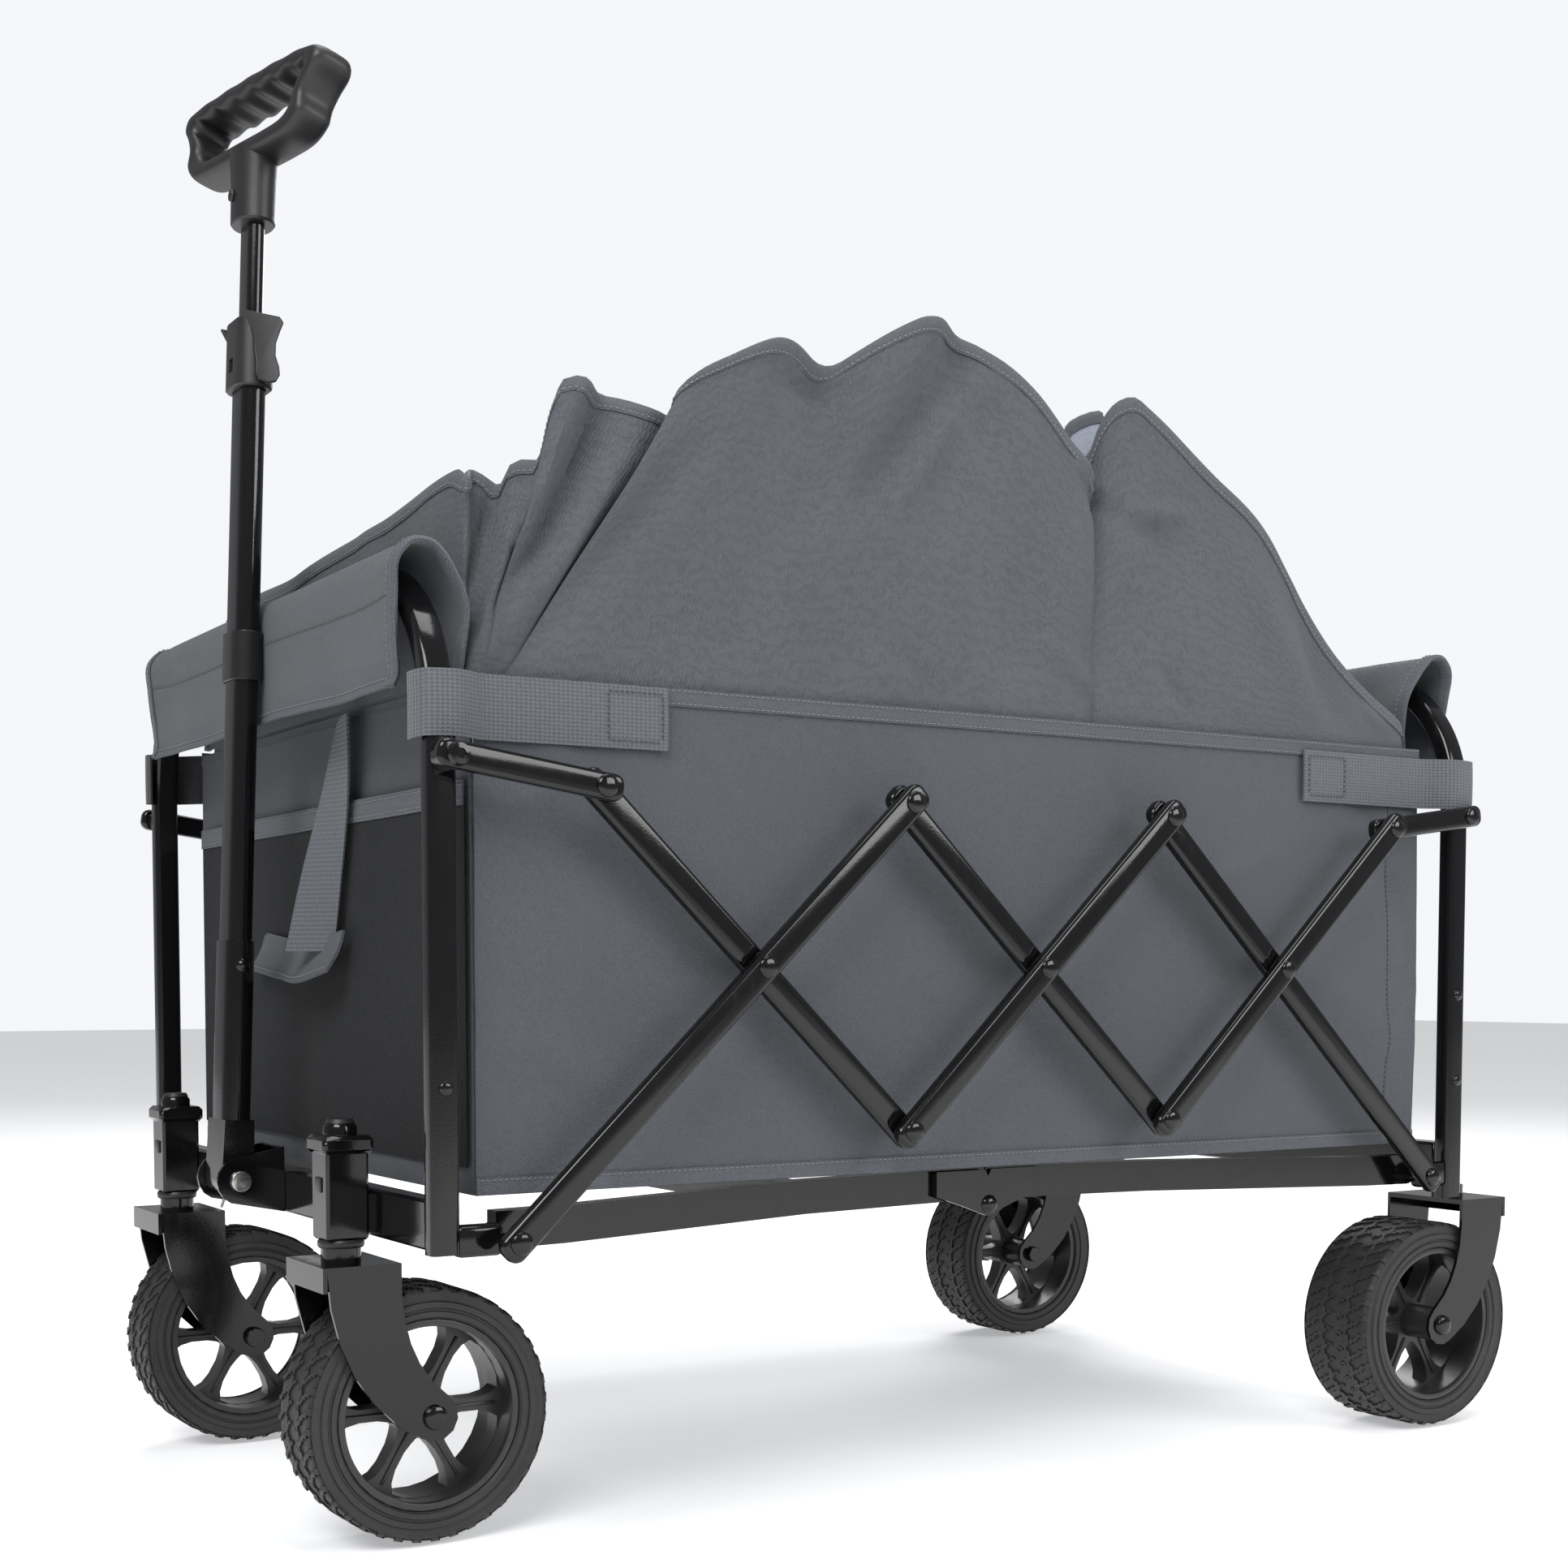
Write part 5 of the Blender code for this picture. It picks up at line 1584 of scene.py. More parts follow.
# ---- fabric tub --------------------------------------------------------------------------------
@dataclass
class FabricTub:
    """The tub: side walls, end panels, seam bindings, floor boards and the front pocket."""

    half: float = 0.291
    front: float = -0.441
    rear: float = 0.440
    low: float = 0.2460
    seam: float = 0.582
    cloth: float = 0.0016

    def wall(self, side: Side) -> None:
        """A side wall that bellies out a little between its seams, with its hem, band and stitches.

        Args:
            side: The side of the wagon.
        """
        s, rows, columns = side.value, 64, 170
        z = np.linspace(self.low, self.seam, rows)[:, None] * np.ones((1, columns))
        y = np.ones((rows, 1)) * np.linspace(self.front + 0.001, self.rear - 0.001, columns)[None, :]
        inner = np.sin(np.pi * (z - self.low) / (self.seam - self.low)) ** 0.7
        out = inner * (0.0022 + 0.0018 * np.sin(11 * y + 1.0) * np.sin(13 * z))
        for start, end, width, depth in (
            ((-0.40, 0.56), (-0.30, 0.45), 0.012, 0.0026), ((-0.28, 0.57), (-0.24, 0.50), 0.009, 0.0018),
            ((0.36, 0.56), (0.42, 0.44), 0.013, -0.0028), ((0.30, 0.40), (0.42, 0.33), 0.016, 0.0030),
            ((-0.10, 0.57), (-0.06, 0.49), 0.010, 0.0020), ((0.08, 0.57), (0.13, 0.48), 0.012, -0.0022),
            ((-0.43, 0.36), (-0.30, 0.29), 0.015, 0.0028), ((0.16, 0.45), (0.34, 0.52), 0.012, 0.0020),
            ((-0.20, 0.33), (-0.05, 0.30), 0.014, -0.0020), ((0.38, 0.30), (0.43, 0.38), 0.010, 0.0024),
        ):
            out = out + crease(y, z, start, end, width) * depth
        x = (self.half - 0.0008 + out) * s
        grid = np.stack([x, y, z], axis=2)
        if side is Side.LEFT:
            grid = grid[:, ::-1]
        name = f"side_wall_{side.name.lower()}"
        made = grid_mesh(name, grid[::-1])
        made.data.materials.append(OXFORD.make(name + "_finish"))
        thick(made, self.cloth)
        trims = self.wall_trims(side, x, y, z, columns)
        node = f"tub_wall_{side.name.lower()}"
        settle(made, None, "front_frame", [node])
        flat_of(grid)
        for piece in (made, *trims):
            squashed(piece)

    def wall_trims(
        self, side: Side, x: np.ndarray, y: np.ndarray, z: np.ndarray, columns: int,
    ) -> list[bpy.types.Object]:
        """The seam band along the top, the lower hem, the corner seam and their stitches.

        Args:
            side: The side of the wagon.
            x: The wall's points across.
            y: The points along.
            z: The points' heights.
            columns: Points along the wall.

        Returns:
            The pieces.
        """
        s, made = side.value, []
        outward = np.tile([s, 0.0, 0.0], (columns, 1))

        def line(row: int, lift: float) -> np.ndarray:
            """A line of the wall's points, lifted outwards."""
            return np.stack([x[row] + lift * s, y[row], z[row]], axis=1)

        bands = (("seam_band", -3, 0.012, 0.0020), ("lower_hem", 2, 0.011, 0.0013))
        for label, row, width, lift in bands:
            centre = line(row, lift)
            centre[:, 2] = self.seam - 0.003 if label == "seam_band" else self.low + 0.006
            grid = tape_grid(centre, (0, 0, 1), width)
            name = f"{label}_{side.name.lower()}"
            band = grid_mesh(name, grid if side is Side.LEFT else grid[::-1])
            thick(band, 0.0013)
            settle(band, BINDING, "front_frame")
            flat_of(grid)
            made.append(band)
            for index, height in enumerate((-0.36, 0.36) if label == "seam_band" else (0.36,)):
                path = centre.copy()
                path[:, 2] += height * width
                path[:, 0] += 0.0008 * s
                row_piece = stitches(f"{name}_stitch_{index}", path, outward)
                settle(row_piece, THREAD, "front_frame")
                made.append(row_piece)
        column = int(columns * 0.955)
        path = np.stack([x[:, column] + 0.0011 * s, y[:, column], z[:, column]], axis=1)
        corner = stitches(f"corner_stitch_{side.name.lower()}", path, np.tile([s, 0.0, 0.0], (len(path), 1)))
        settle(corner, DARK_THREAD, "front_frame")
        made.append(corner)
        return made

    def panel(self, end: End) -> None:
        """An end panel with a soft sag and creases towards its corners.

        Args:
            end: The end of the wagon.
        """
        rows, columns = 50, 90
        y0 = self.front if end is End.FRONT else self.rear
        z = np.linspace(self.low, self.seam, rows)[:, None] * np.ones((1, columns))
        x = np.ones((rows, 1)) * np.linspace(-self.half + 0.003, self.half - 0.003, columns)[None, :]
        sag = np.sin(np.pi * (z - self.low) / (self.seam - self.low)) * np.cos(np.pi * x / 0.62)
        y = y0 - end.value * (0.0012 + 0.0016 * sag + 0.0006 * np.sin(17 * x + 9 * z))
        grid = np.stack([x, y, z], axis=2)
        name = f"end_panel_{end.name.lower()}"
        made = grid_mesh(name, grid if end is End.FRONT else grid[:, ::-1])
        made.data.materials.append(OXFORD.make(name + "_finish"))
        thick(made, self.cloth)
        node = f"tub_panel_{end.name.lower()}"
        settle(made, None, "front_frame", [node])
        flat_of(grid)
        squashed(made)

    def boards(self) -> None:
        """The two folding floor boards with sewn felt covers."""
        for label in ("front", "rear"):
            node = f"floor_board_{label}"
            made = refined(node, 0.0012, 40.0)
            made.name = f"felt_board_{label}"
            settle(made, FELT, f"base_{label}", [node])
            low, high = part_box(node)
            inset = 0.012
            corners = [
                (low.x + inset, low.y + inset), (high.x - inset, low.y + inset),
                (high.x - inset, high.y - inset),
                (low.x + inset, high.y - inset), (low.x + inset, low.y + inset),
            ]
            path = np.array([
                (a[0] + (b[0] - a[0]) * t, a[1] + (b[1] - a[1]) * t, high.z + 0.0002)
                for a, b in zip(corners, corners[1:]) for t in np.linspace(0, 1, 40)
            ])
            row = stitches(f"board_stitch_{label}", path, np.tile([0.0, 0.0, 1.0], (len(path), 1)), 0.006)
            settle(row, THREAD, f"base_{label}")

    def pocket(self) -> None:
        """The net pocket on the front panel, its binding, the pull webbing and the band folded over it."""
        rows, columns = 40, 120
        z = np.linspace(0.2640, 0.5060, rows)[:, None] * np.ones((1, columns))
        x = np.ones((rows, 1)) * np.linspace(-0.284, 0.284, columns)[None, :]
        rise = (z - 0.264) / 0.242
        y = -0.4428 - 0.0024 * rise**0.6 * np.cos(np.pi * x / 0.60) - 0.0006 * np.sin(31 * x) * rise
        grid = np.stack([x, y, z], axis=2)
        net = grid_mesh("pocket_net", grid)
        net.data.materials.append(NET.make("pocket_net_finish"))
        thick(net, 0.0008)
        settle(net, None, "front_frame", ["front_mesh_pocket"])
        top = np.stack([x[-1], y[-1] - 0.0009, np.full(columns, 0.5085)], axis=1)
        top_grid = tape_grid(top, (0, 0, 1), 0.016)
        rim = grid_mesh("pocket_binding", top_grid)
        thick(rim, 0.0014)
        settle(rim, BINDING, "front_frame")
        rim_row = top.copy()
        rim_row[:, 1] -= 0.0009
        outward = np.tile([0.0, -1.0, 0.0], (columns, 1))
        rim_row[:, 2] -= 0.005
        low_row, high_row = rim_row.copy(), rim_row.copy()
        high_row[:, 2] += 0.010
        rows_made = []
        for index, path in enumerate((low_row, high_row)):
            rows_made.append(
                settle(
                    stitches(f"pocket_stitch_{index}", path, outward), THREAD, "front_frame",
                )
            )
        seam_path = np.stack([x[-1], np.full(columns, -0.4432), np.full(columns, 0.5745)], axis=1)
        rows_made.append(
            settle(
                stitches("panel_hem_stitch", seam_path, outward), DARK_THREAD, "front_frame",
            )
        )
        strap_path = curve_through(
            [
                (0.088, -0.4520, 0.577), (0.080, -0.4560, 0.52), (0.066, -0.4620, 0.46),
                (0.052, -0.4660, 0.408),
            ],
            60,
        )
        turn = np.linspace(0.0, 1.0, 60)[:, None] ** 0.8
        across = np.array([[1.0, -0.22, 0.0]]) * (1 - turn) + np.array([[0.72, 0.62, 0.0]]) * turn
        across /= np.linalg.norm(across, axis=1, keepdims=True)
        shares = np.linspace(-0.5, 0.5, 7)[None, :, None]
        strap_grid = strap_path[:, None, :] + shares * across[:, None, :] * 0.040
        strap = grid_mesh("pocket_webbing", strap_grid[::-1])
        thick(strap, 0.0016)
        settle(strap, TAPE, "front_frame", ["front_pull_strap"])
        band_path = curve_through(
            [
                (-0.115, -0.4500, 0.410), (-0.03, -0.4560, 0.403), (0.035, -0.4640, 0.400),
                (0.088, -0.4600, 0.408),
            ],
            60,
        )
        band_grid = tape_grid(band_path, (0, 0, 1), 0.030, 9)
        swell = np.sin(np.linspace(0, np.pi, 9))[None, :] * 0.0012
        band_grid[:, :, 1] += swell * 2 + (band_grid[:, :, 2] - band_path[:, 2:3]) * 0.45
        band = grid_mesh("pocket_fold_band", band_grid)
        thick(band, 0.0022)
        settle(band, OXFORD, "front_frame")
        fold_row = band_path.copy()
        fold_row[:, 2] -= 0.011
        fold_row[:, 1] -= 0.0062
        rows_made.append(
            settle(
                stitches("fold_band_stitch", fold_row, np.tile([0.0, -1.0, 0.0], (60, 1))), THREAD,
                "front_frame",
            )
        )
        flat_of(grid)
        for piece, cloth in ((rim, top_grid), (strap, strap_grid), (band, band_grid)):
            flat_of(cloth)
        for piece in (net, rim, strap, band, *rows_made):
            squashed(piece)

    def build(self) -> None:
        """Makes the tub's pieces."""
        for side in Side:
            self.wall(side)
        for end in End:
            self.panel(end)
        self.boards()
        self.pocket()


@dataclass
class Collar:
    """The tall loose collar above the tub's seam, folded and slumped, with a bound hem and a light lining.

    Each rib is (seam x, seam y, hem x, hem y, hem z), in order round the tub.
    """

    seam: float = 0.5815
    cloth: float = 0.0018
    rows: int = 56
    per_span: int = 7
    near: tuple[tuple[float, float, float, float, float], ...] = (
        (-0.02, -0.438, -0.02, -0.432, 0.705), (0.060, -0.438, 0.081, -0.430, 0.713),
        (0.130, -0.438, 0.159, -0.428, 0.719),
        (0.190, -0.438, 0.237, -0.428, 0.724), (0.255, -0.437, 0.250, -0.426, 0.718),
        (0.266, -0.437, 0.224, -0.411, 0.729),
        (0.276, -0.436, 0.246, -0.396, 0.718), (0.280, -0.435, 0.262, -0.393, 0.731),
        (0.282, -0.433, 0.264, -0.381, 0.731),
        (0.284, -0.431, 0.271, -0.366, 0.783), (0.285, -0.429, 0.274, -0.355, 0.786),
        (0.285, -0.426, 0.262, -0.328, 0.783),
        (0.285, -0.422, 0.268, -0.297, 0.776), (0.284, -0.418, 0.252, -0.262, 0.770),
        (0.286, -0.414, 0.284, -0.283, 0.785),
        (0.287, -0.402, 0.290, -0.272, 0.799), (0.287, -0.365, 0.291, -0.246, 0.814),
        (0.287, -0.315, 0.291, -0.216, 0.829),
        (0.287, -0.280, 0.287, -0.200, 0.833), (0.287, -0.255, 0.280, -0.184, 0.832),
        (0.287, -0.235, 0.271, -0.163, 0.825),
        (0.287, -0.220, 0.268, -0.149, 0.826), (0.287, -0.200, 0.275, -0.134, 0.836),
        (0.287, -0.180, 0.283, -0.118, 0.847),
        (0.287, -0.158, 0.288, -0.101, 0.857), (0.287, -0.136, 0.290, -0.084, 0.865),
        (0.287, -0.112, 0.284, -0.062, 0.869),
        (0.287, -0.088, 0.270, -0.036, 0.864), (0.287, -0.060, 0.277, -0.024, 0.858),
        (0.287, -0.025, 0.283, -0.001, 0.846),
        (0.287, 0.005, 0.285, 0.020, 0.831), (0.287, 0.035, 0.285, 0.044, 0.810),
        (0.287, 0.066, 0.284, 0.073, 0.783),
        (0.285, 0.078, 0.266, 0.092, 0.776), (0.282, 0.083, 0.246, 0.123, 0.836),
        (0.278, 0.078, 0.238, 0.094, 0.824),
        (0.280, 0.076, 0.250, 0.086, 0.790), (0.285, 0.088, 0.263, 0.095, 0.797),
        (0.286, 0.100, 0.271, 0.100, 0.818),
        (0.287, 0.115, 0.277, 0.110, 0.834), (0.287, 0.128, 0.281, 0.125, 0.840),
        (0.287, 0.145, 0.282, 0.141, 0.832),
        (0.287, 0.175, 0.284, 0.176, 0.811), (0.287, 0.212, 0.285, 0.210, 0.789),
        (0.287, 0.262, 0.286, 0.264, 0.748),
        (0.287, 0.302, 0.286, 0.300, 0.704), (0.287, 0.342, 0.286, 0.338, 0.665),
        (0.287, 0.388, 0.286, 0.387, 0.627),
        (0.286, 0.425, 0.284, 0.424, 0.606),
    )
    rear: tuple[tuple[float, float, float, float, float], ...] = (
        (0.270, 0.4335, 0.262, 0.432, 0.603), (0.15, 0.4345, 0.15, 0.430, 0.612),
        (0.0, 0.4345, 0.0, 0.429, 0.618),
        (-0.15, 0.4345, -0.15, 0.430, 0.612), (-0.270, 0.4335, -0.262, 0.432, 0.604),
    )
    far: tuple[tuple[float, float, float, float, float], ...] = (
        (-0.286, 0.425, -0.284, 0.420, 0.608), (-0.287, 0.34, -0.284, 0.338, 0.655),
        (-0.287, 0.25, -0.278, 0.25, 0.715),
        (-0.287, 0.17, -0.268, 0.17, 0.745), (-0.287, 0.10, -0.274, 0.10, 0.750),
        (-0.287, 0.02, -0.282, 0.03, 0.738),
        (-0.287, -0.06, -0.270, -0.05, 0.752), (-0.287, -0.14, -0.280, -0.13, 0.757),
        (-0.287, -0.22, -0.270, -0.21, 0.745),
        (-0.287, -0.30, -0.282, -0.29, 0.735), (-0.286, -0.38, -0.274, -0.37, 0.715),
        (-0.283, -0.424, -0.262, -0.415, 0.700),
        (-0.262, -0.437, -0.235, -0.430, 0.700), (-0.16, -0.438, -0.16, -0.433, 0.703),
        (-0.08, -0.438, -0.08, -0.432, 0.702),
    )

    def grid(self) -> np.ndarray:
        """The collar's points, as rows from the seam to the hem round the tub.

        Returns:
            The points as (rows, columns, 3).
        """
        ribs = np.array([*self.near, *self.rear, *self.far, self.near[0]])
        count = len(ribs) * self.per_span
        both = np.hstack([ribs[:, 2:5], ribs[:, 0:2], np.full((len(ribs), 1), self.seam)])
        dense = curve_through(
            both * np.array([1.0, 1.0, 1.0, 0.35, 0.35, 1.0]), count,
        )[:-1] / np.array([1.0, 1.0, 1.0, 0.35, 0.35, 1.0])
        hem, low = dense[:, :3], dense[:, 3:]
        t = np.linspace(0.0, 1.0, self.rows)[:, None, None]
        ease = t + 0.10 * np.sin(np.pi * t) * (1 - t)
        grid = low[None] * (1 - t) + hem[None] * t
        grid[:, :, 0] = low[None, :, 0] * (1 - ease[..., 0] ** 1.7) + hem[None, :, 0] * ease[..., 0] ** 1.7
        return self.slumped(grid)

    def slumped(self, grid: np.ndarray) -> np.ndarray:
        """Adds the dents, ridges and small seam creases.

        Args:
            grid: The points without dents.

        Returns:
            The points with them.
        """
        x, y, z = grid[..., 0], grid[..., 1], grid[..., 2]
        side = np.clip((np.abs(x) - 0.20) / 0.05, 0, 1) * np.sign(x)
        free = np.clip((z - self.seam) / 0.03, 0, 1)
        out = np.zeros_like(y)
        for start, end, width, depth in (
            ((-0.052, 0.850), (-0.135, 0.728), 0.0150, -0.0135),
            ((-0.030, 0.828), (-0.105, 0.735), 0.0110, 0.0060),
            ((-0.098, 0.850), (-0.190, 0.740), 0.0220, 0.0060),
            ((-0.013, 0.820), (-0.020, 0.775), 0.0120, -0.0075),
            ((-0.205, 0.812), (-0.150, 0.806), 0.0110, -0.0075),
            ((-0.165, 0.800), (-0.175, 0.720), 0.0160, -0.0070),
            ((0.067, 0.782), (0.120, 0.750), 0.0080, 0.0080),
            ((0.120, 0.750), (0.175, 0.757), 0.0080, 0.0060),
            ((0.075, 0.768), (0.150, 0.735), 0.0100, -0.0080),
            ((-0.285, 0.770), (-0.420, 0.610), 0.0110, 0.0070),
            ((-0.262, 0.760), (-0.400, 0.600), 0.0120, -0.0070),
            ((-0.240, 0.790), (-0.330, 0.660), 0.0200, 0.0050),
            ((0.20, 0.770), (0.11, 0.640), 0.0260, -0.0060), ((0.24, 0.730), (0.31, 0.610), 0.0180, 0.0055),
            ((0.30, 0.690), (0.35, 0.600), 0.0140, -0.0055), ((-0.05, 0.72), (-0.09, 0.60), 0.0220, 0.0050),
            ((0.02, 0.70), (0.00, 0.60), 0.0180, -0.0055), ((-0.21, 0.70), (-0.25, 0.61), 0.0180, -0.0050),
            ((0.04, 0.64), (0.10, 0.60), 0.0080, 0.0040), ((-0.262, 0.608), (-0.275, 0.590), 0.0050, 0.0035),
            ((-0.275, 0.606), (-0.290, 0.588), 0.0050, -0.0035),
            ((0.15, 0.63), (0.19, 0.595), 0.0080, -0.0035),
            ((-0.12, 0.64), (-0.08, 0.60), 0.0090, -0.0040),
            ((0.38, 0.615), (0.41, 0.590), 0.0060, 0.0030),
            ((-0.392, 0.735), (-0.428, 0.635), 0.0060, -0.0110),
            ((-0.326, 0.790), (-0.425, 0.615), 0.0095, -0.0120),
            ((-0.350, 0.790), (-0.430, 0.640), 0.0090, 0.0070),
            ((-0.372, 0.760), (-0.428, 0.650), 0.0060, -0.0060),
            ((-0.385, 0.710), (-0.431, 0.620), 0.0055, 0.0060),
        ):
            out = out + crease(y, z, start, end, width) * depth
        slow, quick = np.sin(23 * y + 9 * z) * np.sin(19 * z - 5 * y), np.sin(51 * y - 30 * z)
        out = out + 0.0022 * slow + 0.0012 * quick
        grid[..., 0] = x + out * side * free
        ends = np.clip((0.27 - np.abs(x)) / 0.06, 0, 1) * free
        fold = crease(x, z, (0.08, 0.70), (0.14, 0.60), 0.018)
        wave = 0.0030 * np.sin(26 * x + 12 * z) * np.sin(21 * z) + fold * 0.005
        grid[..., 1] = y + np.sign(y) * ends * np.minimum(wave - 0.002, 0.0035)
        return grid

    def build(self) -> None:
        """Makes the collar, its hem binding and its stitches."""
        grid = self.grid()
        made = grid_mesh("tall_collar", grid, True)
        made.data.materials.append(OXFORD.make("tall_collar_outside"))
        made.data.materials.append(LINING.make("tall_collar_lining"))
        thick(made, self.cloth, 0.0, 1)
        settle(made, None, "front_frame", ["tub_collar"])
        trims = self.hem(grid)
        looped = np.concatenate([grid, grid[:, :1]], axis=1)
        flat_of(looped)
        for piece in (made, *trims):
            squashed(piece)

    def hem(self, grid: np.ndarray) -> list[bpy.types.Object]:
        """The binding folded over the hem and the stitch line under it.

        Args:
            grid: The collar's points.

        Returns:
            The binding and the stitches.
        """
        normal = grid_normals(grid)
        up = grid[-1] - grid[-5]
        up /= np.maximum(np.linalg.norm(up, axis=1, keepdims=True), 1e-9)
        out = normal[-3]
        spread = np.stack([grid[-1, :, 0], grid[-1, :, 1], np.zeros(grid.shape[1])], axis=1)
        outward = np.sign((out * spread).sum(axis=1, keepdims=True))
        out = out * np.where(outward == 0, 1.0, outward[0])
        top = grid[-1]
        tuck = 0.010
        lift = self.cloth / 2 + 0.0006
        section = [
            top - up * tuck + out * lift, top - up * tuck * 0.5 + out * (lift + 0.0004), top + out * lift,
            top + up * 0.0014, top - out * lift, top - up * tuck * 0.5 - out * lift,
            top - up * tuck - out * lift,
        ]
        band_grid = np.stack(section, axis=0)
        band = grid_mesh("collar_binding", band_grid[::-1], True)
        thick(band, 0.0009)
        settle(band, BINDING, "front_frame")
        closed = np.concatenate([band_grid, band_grid[:, :1]], axis=1)
        flat_of(closed)
        path = top - up * (tuck * 0.78) + out * (lift + 0.0006)
        row = stitches("collar_stitch", path, out, 0.0044, 0.0008)
        settle(row, THREAD, "front_frame")
        return [band, row]


@dataclass
class EndFlap:
    """A flap that covers an end arch like a sleeve, open and bound at its ends."""

    end: End
    half: float = 0.274
    cloth: float = 0.0018

    def section(self, openness: float, near_handle: float) -> list[tuple[float, float]]:
        """The flap's section as (out from the arch's middle, height), from the tub seam to the hem.

        Args:
            openness: 0 at the middle of the flap and 1 at its open ends.
            near_handle: 1 next to the pull handle, where the flap lies flat on the arch.
        """
        o, room = openness, 1 - near_handle
        return [
            (-0.0285, 0.5850), (-0.0250 - 0.006 * o, 0.604), (-0.0190 - 0.0125 * o, 0.630),
            (-0.0150 - 0.005 * o, 0.6520),
            (-0.0085, 0.6650), (0.0, 0.6684 - 0.001 * o), (0.0085, 0.6660),
            (0.0140 + 0.004 * o * room, 0.6540),
            (0.0146 + 0.0035 * o * room, 0.6340), (0.0142 + 0.0028 * o * room, 0.6120),
            (0.0138 + 0.0016 * room, 0.5960), (0.0140 + 0.0008 * room, 0.5835),
            (0.0146 + 0.0034 * room, 0.5755),
        ]

    def build(self) -> None:
        """Makes the flap, the binding of its open ends, and its stitches."""
        label, sign = self.end.name.lower(), self.end.value
        y0, columns, rows = 0.470 * sign, 120, 64
        spread = np.linspace(-self.half, self.half, columns)
        lines = []
        for x in spread:
            share = abs(x) / self.half
            openness = max(0.0, (share - 0.80) / 0.20) ** 1.3
            near_handle = float(np.exp(-((x / 0.045) ** 2))) if self.end is End.FRONT else 0.0
            wave = 0.0012 * math.sin(29 * x + 0.6) + 0.0008 * math.sin(63 * x)
            profile = []
            for index, (out, height) in enumerate(self.section(openness, near_handle)):
                hang = max(0, index - 7) / 5
                profile.append(
                    (out + wave * hang * (1 - near_handle), height + 0.0016 * math.sin(17 * x + 1.2) * hang)
                )
            curve = curve_through([(x, y0 + sign * out, height) for out, height in profile], rows)
            lines.append(curve)
        grid = np.stack(lines, axis=1)
        grid[..., 0] += np.sign(grid[..., 0]) * 0.010 * np.clip(
            (np.abs(grid[..., 0]) - 0.262) / 0.012, 0, 1,
        ) * np.clip((grid[..., 2] - 0.60) / 0.06, 0, 1)
        made = grid_mesh(f"end_flap_{label}", grid if self.end is End.REAR else grid[:, ::-1])
        made.data.materials.append(OXFORD.make(f"end_flap_{label}_finish"))
        thick(made, self.cloth)
        body, node = f"{label}_frame", f"{label}_flap"
        settle(made, None, body, [node])
        trims = self.trims(grid, body, node, label)
        flat_of(grid)

    def trims(self, grid: np.ndarray, body: str, node: str, label: str) -> list[bpy.types.Object]:
        """The bound edges and the stitch lines.

        Args:
            grid: The flap's points.
            body: The body that they ride on.
            node: The flap's CAD node; not used.
            label: The end's name.

        Returns:
            The pieces.
        """
        normal = grid_normals(grid)
        outward = np.array([0.0, self.end.value, 0.15])
        flip = np.sign((normal[-6] * outward).sum(axis=1).mean())
        normal = normal * flip
        made = []
        for index, column in enumerate((0, -1)):
            path, out = grid[:, column], normal[:, column]
            side = np.sign(path[0, 0])
            inner = np.array([-side, 0.0, 0.0])
            section = [
                path + inner * 0.009 + out * 0.0015, path + out * 0.0018, path - inner * 0.0014,
                path - out * 0.0018, path + inner * 0.009 - out * 0.0015,
            ]
            edge_grid = np.stack(section, axis=0)
            edge = grid_mesh(f"flap_edge_{label}_{index}", edge_grid)
            thick(edge, 0.0010)
            settle(edge, BINDING, body)
            flat_of(edge_grid)
            row = stitches(f"flap_edge_stitch_{label}_{index}", path + inner * 0.0075 + out * 0.0024, out)
            settle(row, THREAD, body)
            made += [edge, row]
        for index, row_number in enumerate((-3, 44)):
            row = stitches(
                f"flap_stitch_{label}_{index}", grid[row_number] + normal[row_number] * 0.0013,
                normal[row_number],
            )
            settle(row, THREAD if index == 0 else DARK_THREAD, body)
            made.append(row)
        return made


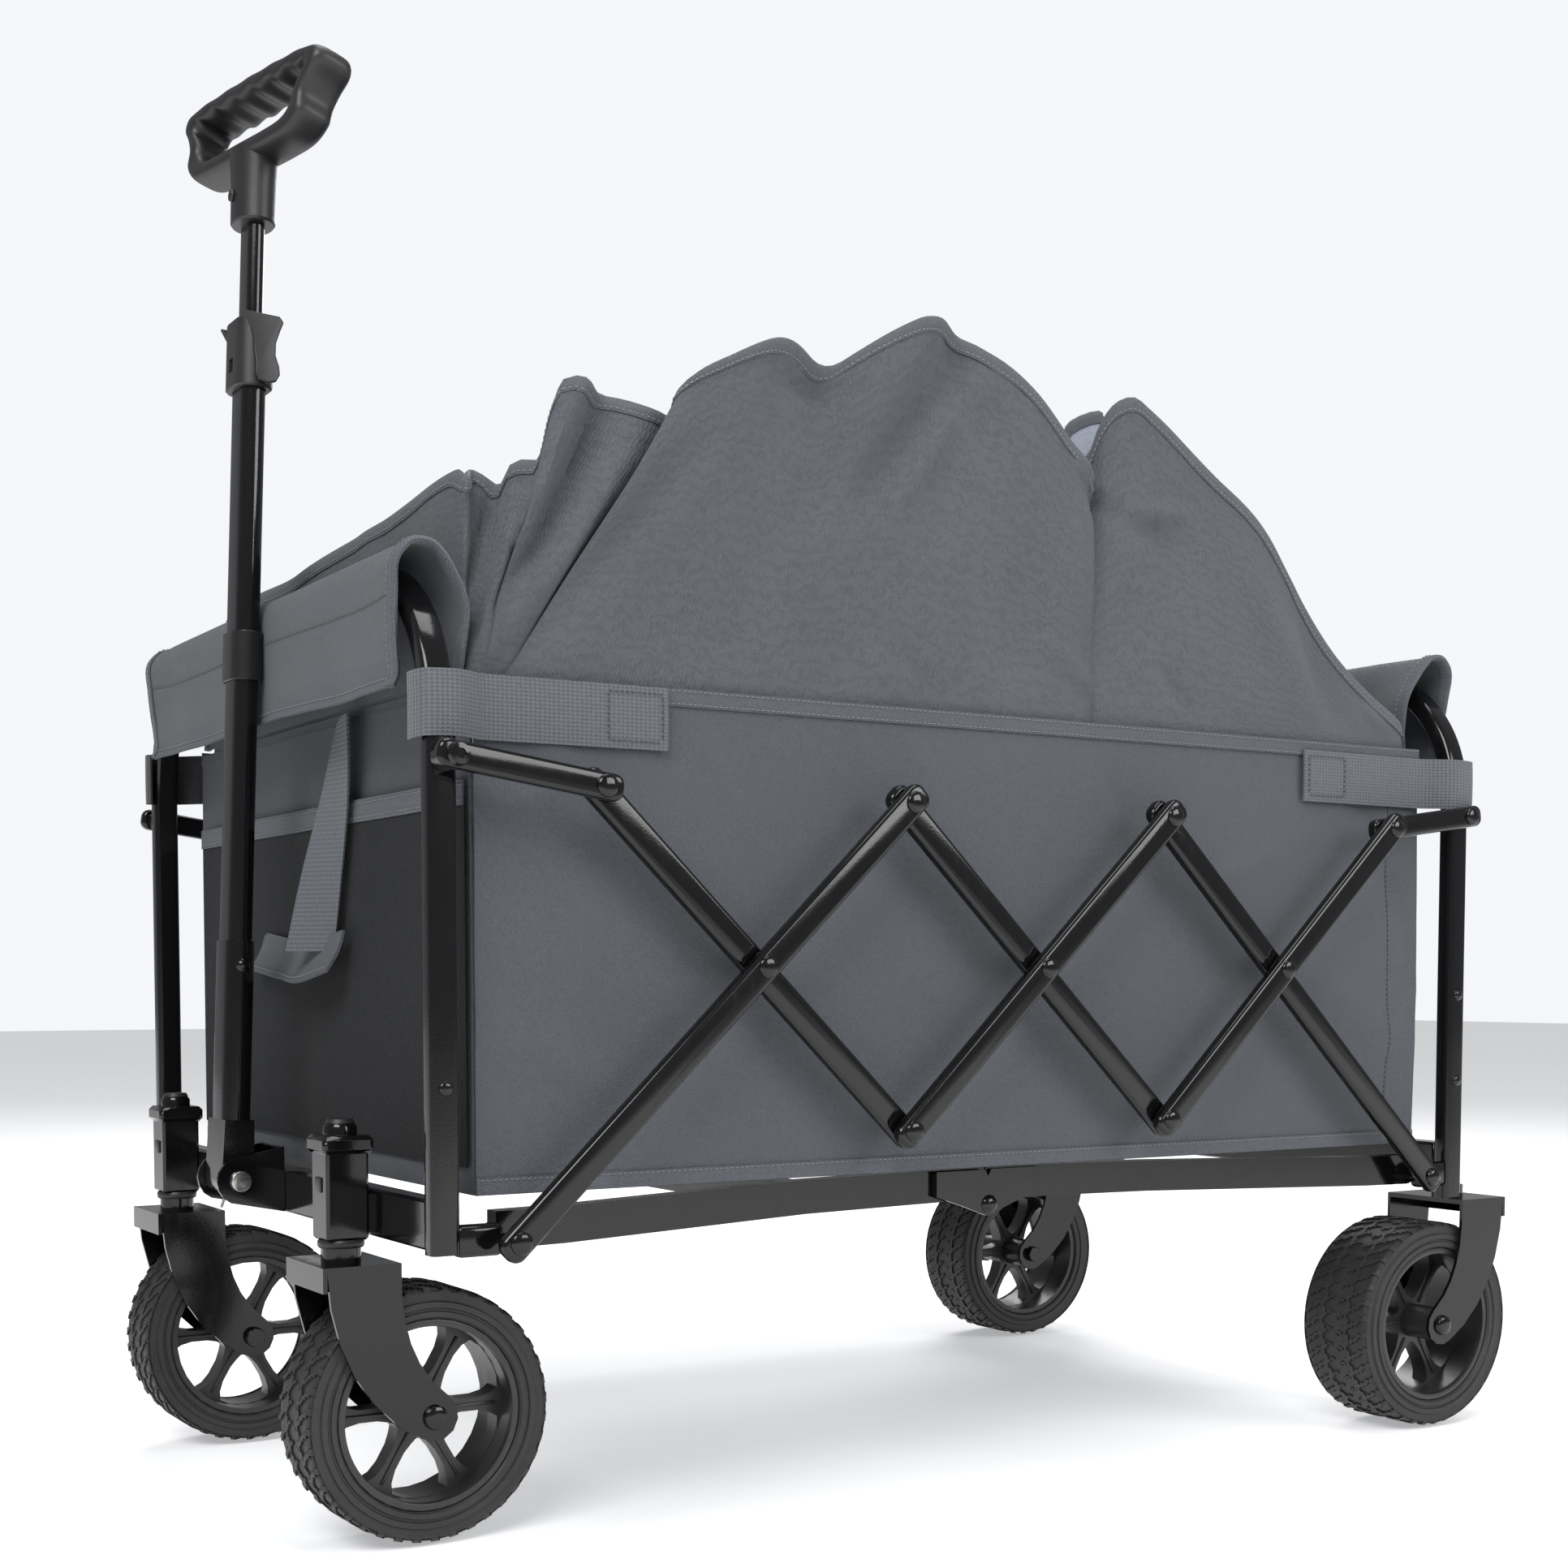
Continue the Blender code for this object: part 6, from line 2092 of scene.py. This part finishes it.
@dataclass
class PostStraps:
    """The webbing straps that tie the tub's corners to the posts."""

    wide: float = 0.042
    height: float = 0.5615

    def path(self, end: End, side: Side) -> np.ndarray:
        """A strap's centreline from inside the post, round it and along the wall.

        Args:
            end: The end of the wagon.
            side: The side of the wagon.

        Returns:
            The points of the line.
        """
        s, e = side.value, end.value
        points = [
            (0.2925, 0.4845), (0.2975, 0.4855), (0.3060, 0.4848), (0.3135, 0.4825),
            (0.3158, 0.4760), (0.3160, 0.4690),
            (0.3150, 0.4600), (0.3090, 0.4500), (0.3000, 0.4380), (0.2970, 0.4200),
            (0.2962, 0.3700), (0.2960, 0.2990),
        ]
        drop = 0.0 if end is End.FRONT else -0.007
        return curve_through(
            [(x * s, y * e, self.height + drop + 0.003 * i / 11 - 0.0015) for i, (x, y) in enumerate(points)],
            90,
        )

    def build(self) -> None:
        """Makes the straps with their stitched boxes."""
        for end in End:
            for side in Side:
                name = f"{end.name.lower()}_{side.name.lower()}"
                path = self.path(end, side)
                grid = tape_grid(path, (0, 0, 1), self.wide, 7)
                bend = np.linspace(-1, 1, 7)[None, :] ** 2 * 0.0006 * side.value
                grid[..., 0] -= bend
                made = grid_mesh(f"post_strap_{name}", grid)
                thick(made, 0.0017)
                finish = DARK_TAPE if (end, side) == (End.FRONT, Side.RIGHT) else TAPE
                body = f"{end.name.lower()}_frame"
                settle(made, finish, body)
                outward = np.tile([side.value, 0.0, 0.0], (40, 1))
                e, s = end.value, side.value
                corners = [(0.304, -0.016), (0.345, -0.016), (0.345, 0.016), (0.304, 0.016), (0.304, -0.016)]
                box = np.array([
                    (0.2975 * s, (a[0] + (b[0] - a[0]) * t) * e, path[-1, 2] + a[1] + (b[1] - a[1]) * t)
                    for a, b in zip(corners, corners[1:]) for t in np.linspace(0, 1, 10)
                ])
                row = stitches(f"strap_stitch_{name}", box, outward)
                settle(row, DARK_THREAD if finish is TAPE else THREAD, body)
                flat_of(grid)
                for piece in (made, row):
                    squashed(piece)


# ---- studio ------------------------------------------------------------------------------------
@dataclass
class Studio:
    """A pale sweep, soft lights and the camera."""

    lens: float = 49.07
    place: Point = (1.5763, -1.0047, 0.3873)
    turn: Point = (math.radians(90 - 3.1697), math.radians(-0.027), math.radians(58.0603))
    rise: float = 0.2002
    room_light: float = 0.30
    backdrop_light: float = 0.95

    def camera(self) -> None:
        """Places the camera and makes it the scene's."""
        data = bpy.data.cameras.new("studio_camera")
        data.sensor_width = 36.0
        data.lens = self.lens
        data.shift_y = self.rise
        made = bpy.data.objects.new("studio_camera", data)
        made.location = self.place
        made.rotation_euler = self.turn
        bpy.context.scene.collection.objects.link(made)
        bpy.context.scene.camera = made

    def light(self, name: str, place: Point, aim: Point, size: float, power: float) -> None:
        """A square area light that faces a point.

        Args:
            name: The light's name.
            place: Where it stands.
            aim: Where it points.
            size: Its width.
            power: Its power in watts.
        """
        data = bpy.data.lights.new(name, "AREA")
        data.shape = "RECTANGLE"
        data.size = size
        data.size_y = size * 0.7
        data.energy = power
        made = bpy.data.objects.new(name, data)
        made.location = place
        made.rotation_euler = (Vector(aim) - Vector(place)).to_track_quat("-Z", "Y").to_euler()
        bpy.context.scene.collection.objects.link(made)

    def floor(self) -> None:
        """The pale floor."""
        deselect()
        bpy.ops.mesh.primitive_plane_add(size=30.0, location=(0.0, 0.0, -0.0005))
        made = bpy.context.active_object
        made.name = "studio_floor"
        fixed(made)
        graph = Graph("studio_floor_finish")
        cloud = graph.noise(3.0, 2.0)
        made.data.materials.append(graph.dress(
            Base_Color=graph.ramp(cloud, (0.80, 0.80, 0.80), (0.84, 0.84, 0.84)), Roughness=0.65,
            Specular_IOR_Level=0.1, Emission_Color=(0.97, 0.98, 1.0, 1.0), Emission_Strength=0.38,
        ))

    def build(self) -> None:
        """Makes the floor, the lights, the sky and the camera."""
        bpy.context.scene.view_settings.view_transform = "Standard"
        self.camera()
        self.floor()
        centre = (0.0, 0.0, 0.4)
        self.light("key_light", (2.2, -2.6, 3.0), centre, 2.4, 130.0)
        self.light("side_light", (3.2, 1.6, 1.8), centre, 2.0, 60.0)
        self.light("back_light", (-2.8, 1.8, 2.6), centre, 2.2, 70.0)
        self.light("top_light", (0.0, 0.0, 3.6), centre, 2.6, 60.0)
        world = bpy.data.worlds.new("studio_sky")
        bpy.context.scene.world = world
        world.use_nodes = True
        tree = world.node_tree
        sky = tree.nodes["Background"]
        sky.inputs[0].default_value = (0.96, 0.975, 1.0, 1.0)
        seen = tree.nodes.new("ShaderNodeLightPath")
        mix = tree.nodes.new("ShaderNodeMix")
        mix.inputs[2].default_value = self.room_light
        mix.inputs[3].default_value = self.backdrop_light
        tree.links.new(seen.outputs["Is Camera Ray"], mix.inputs[0])
        tree.links.new(mix.outputs[0], sky.inputs[1])


def main() -> None:
    """Builds the wagon's looks in order."""
    logging.basicConfig(level=logging.INFO, format="%(name)s: %(message)s")
    Studio().build()
    SteelFrame().build()
    for end in End:
        for side in Side:
            Wheel(end, side).build()
    PullHandle().build()
    FabricTub().build()
    Collar().build()
    for end in End:
        EndFlap(end).build()
    PostStraps().build()


if __name__ == "__main__":
    main()
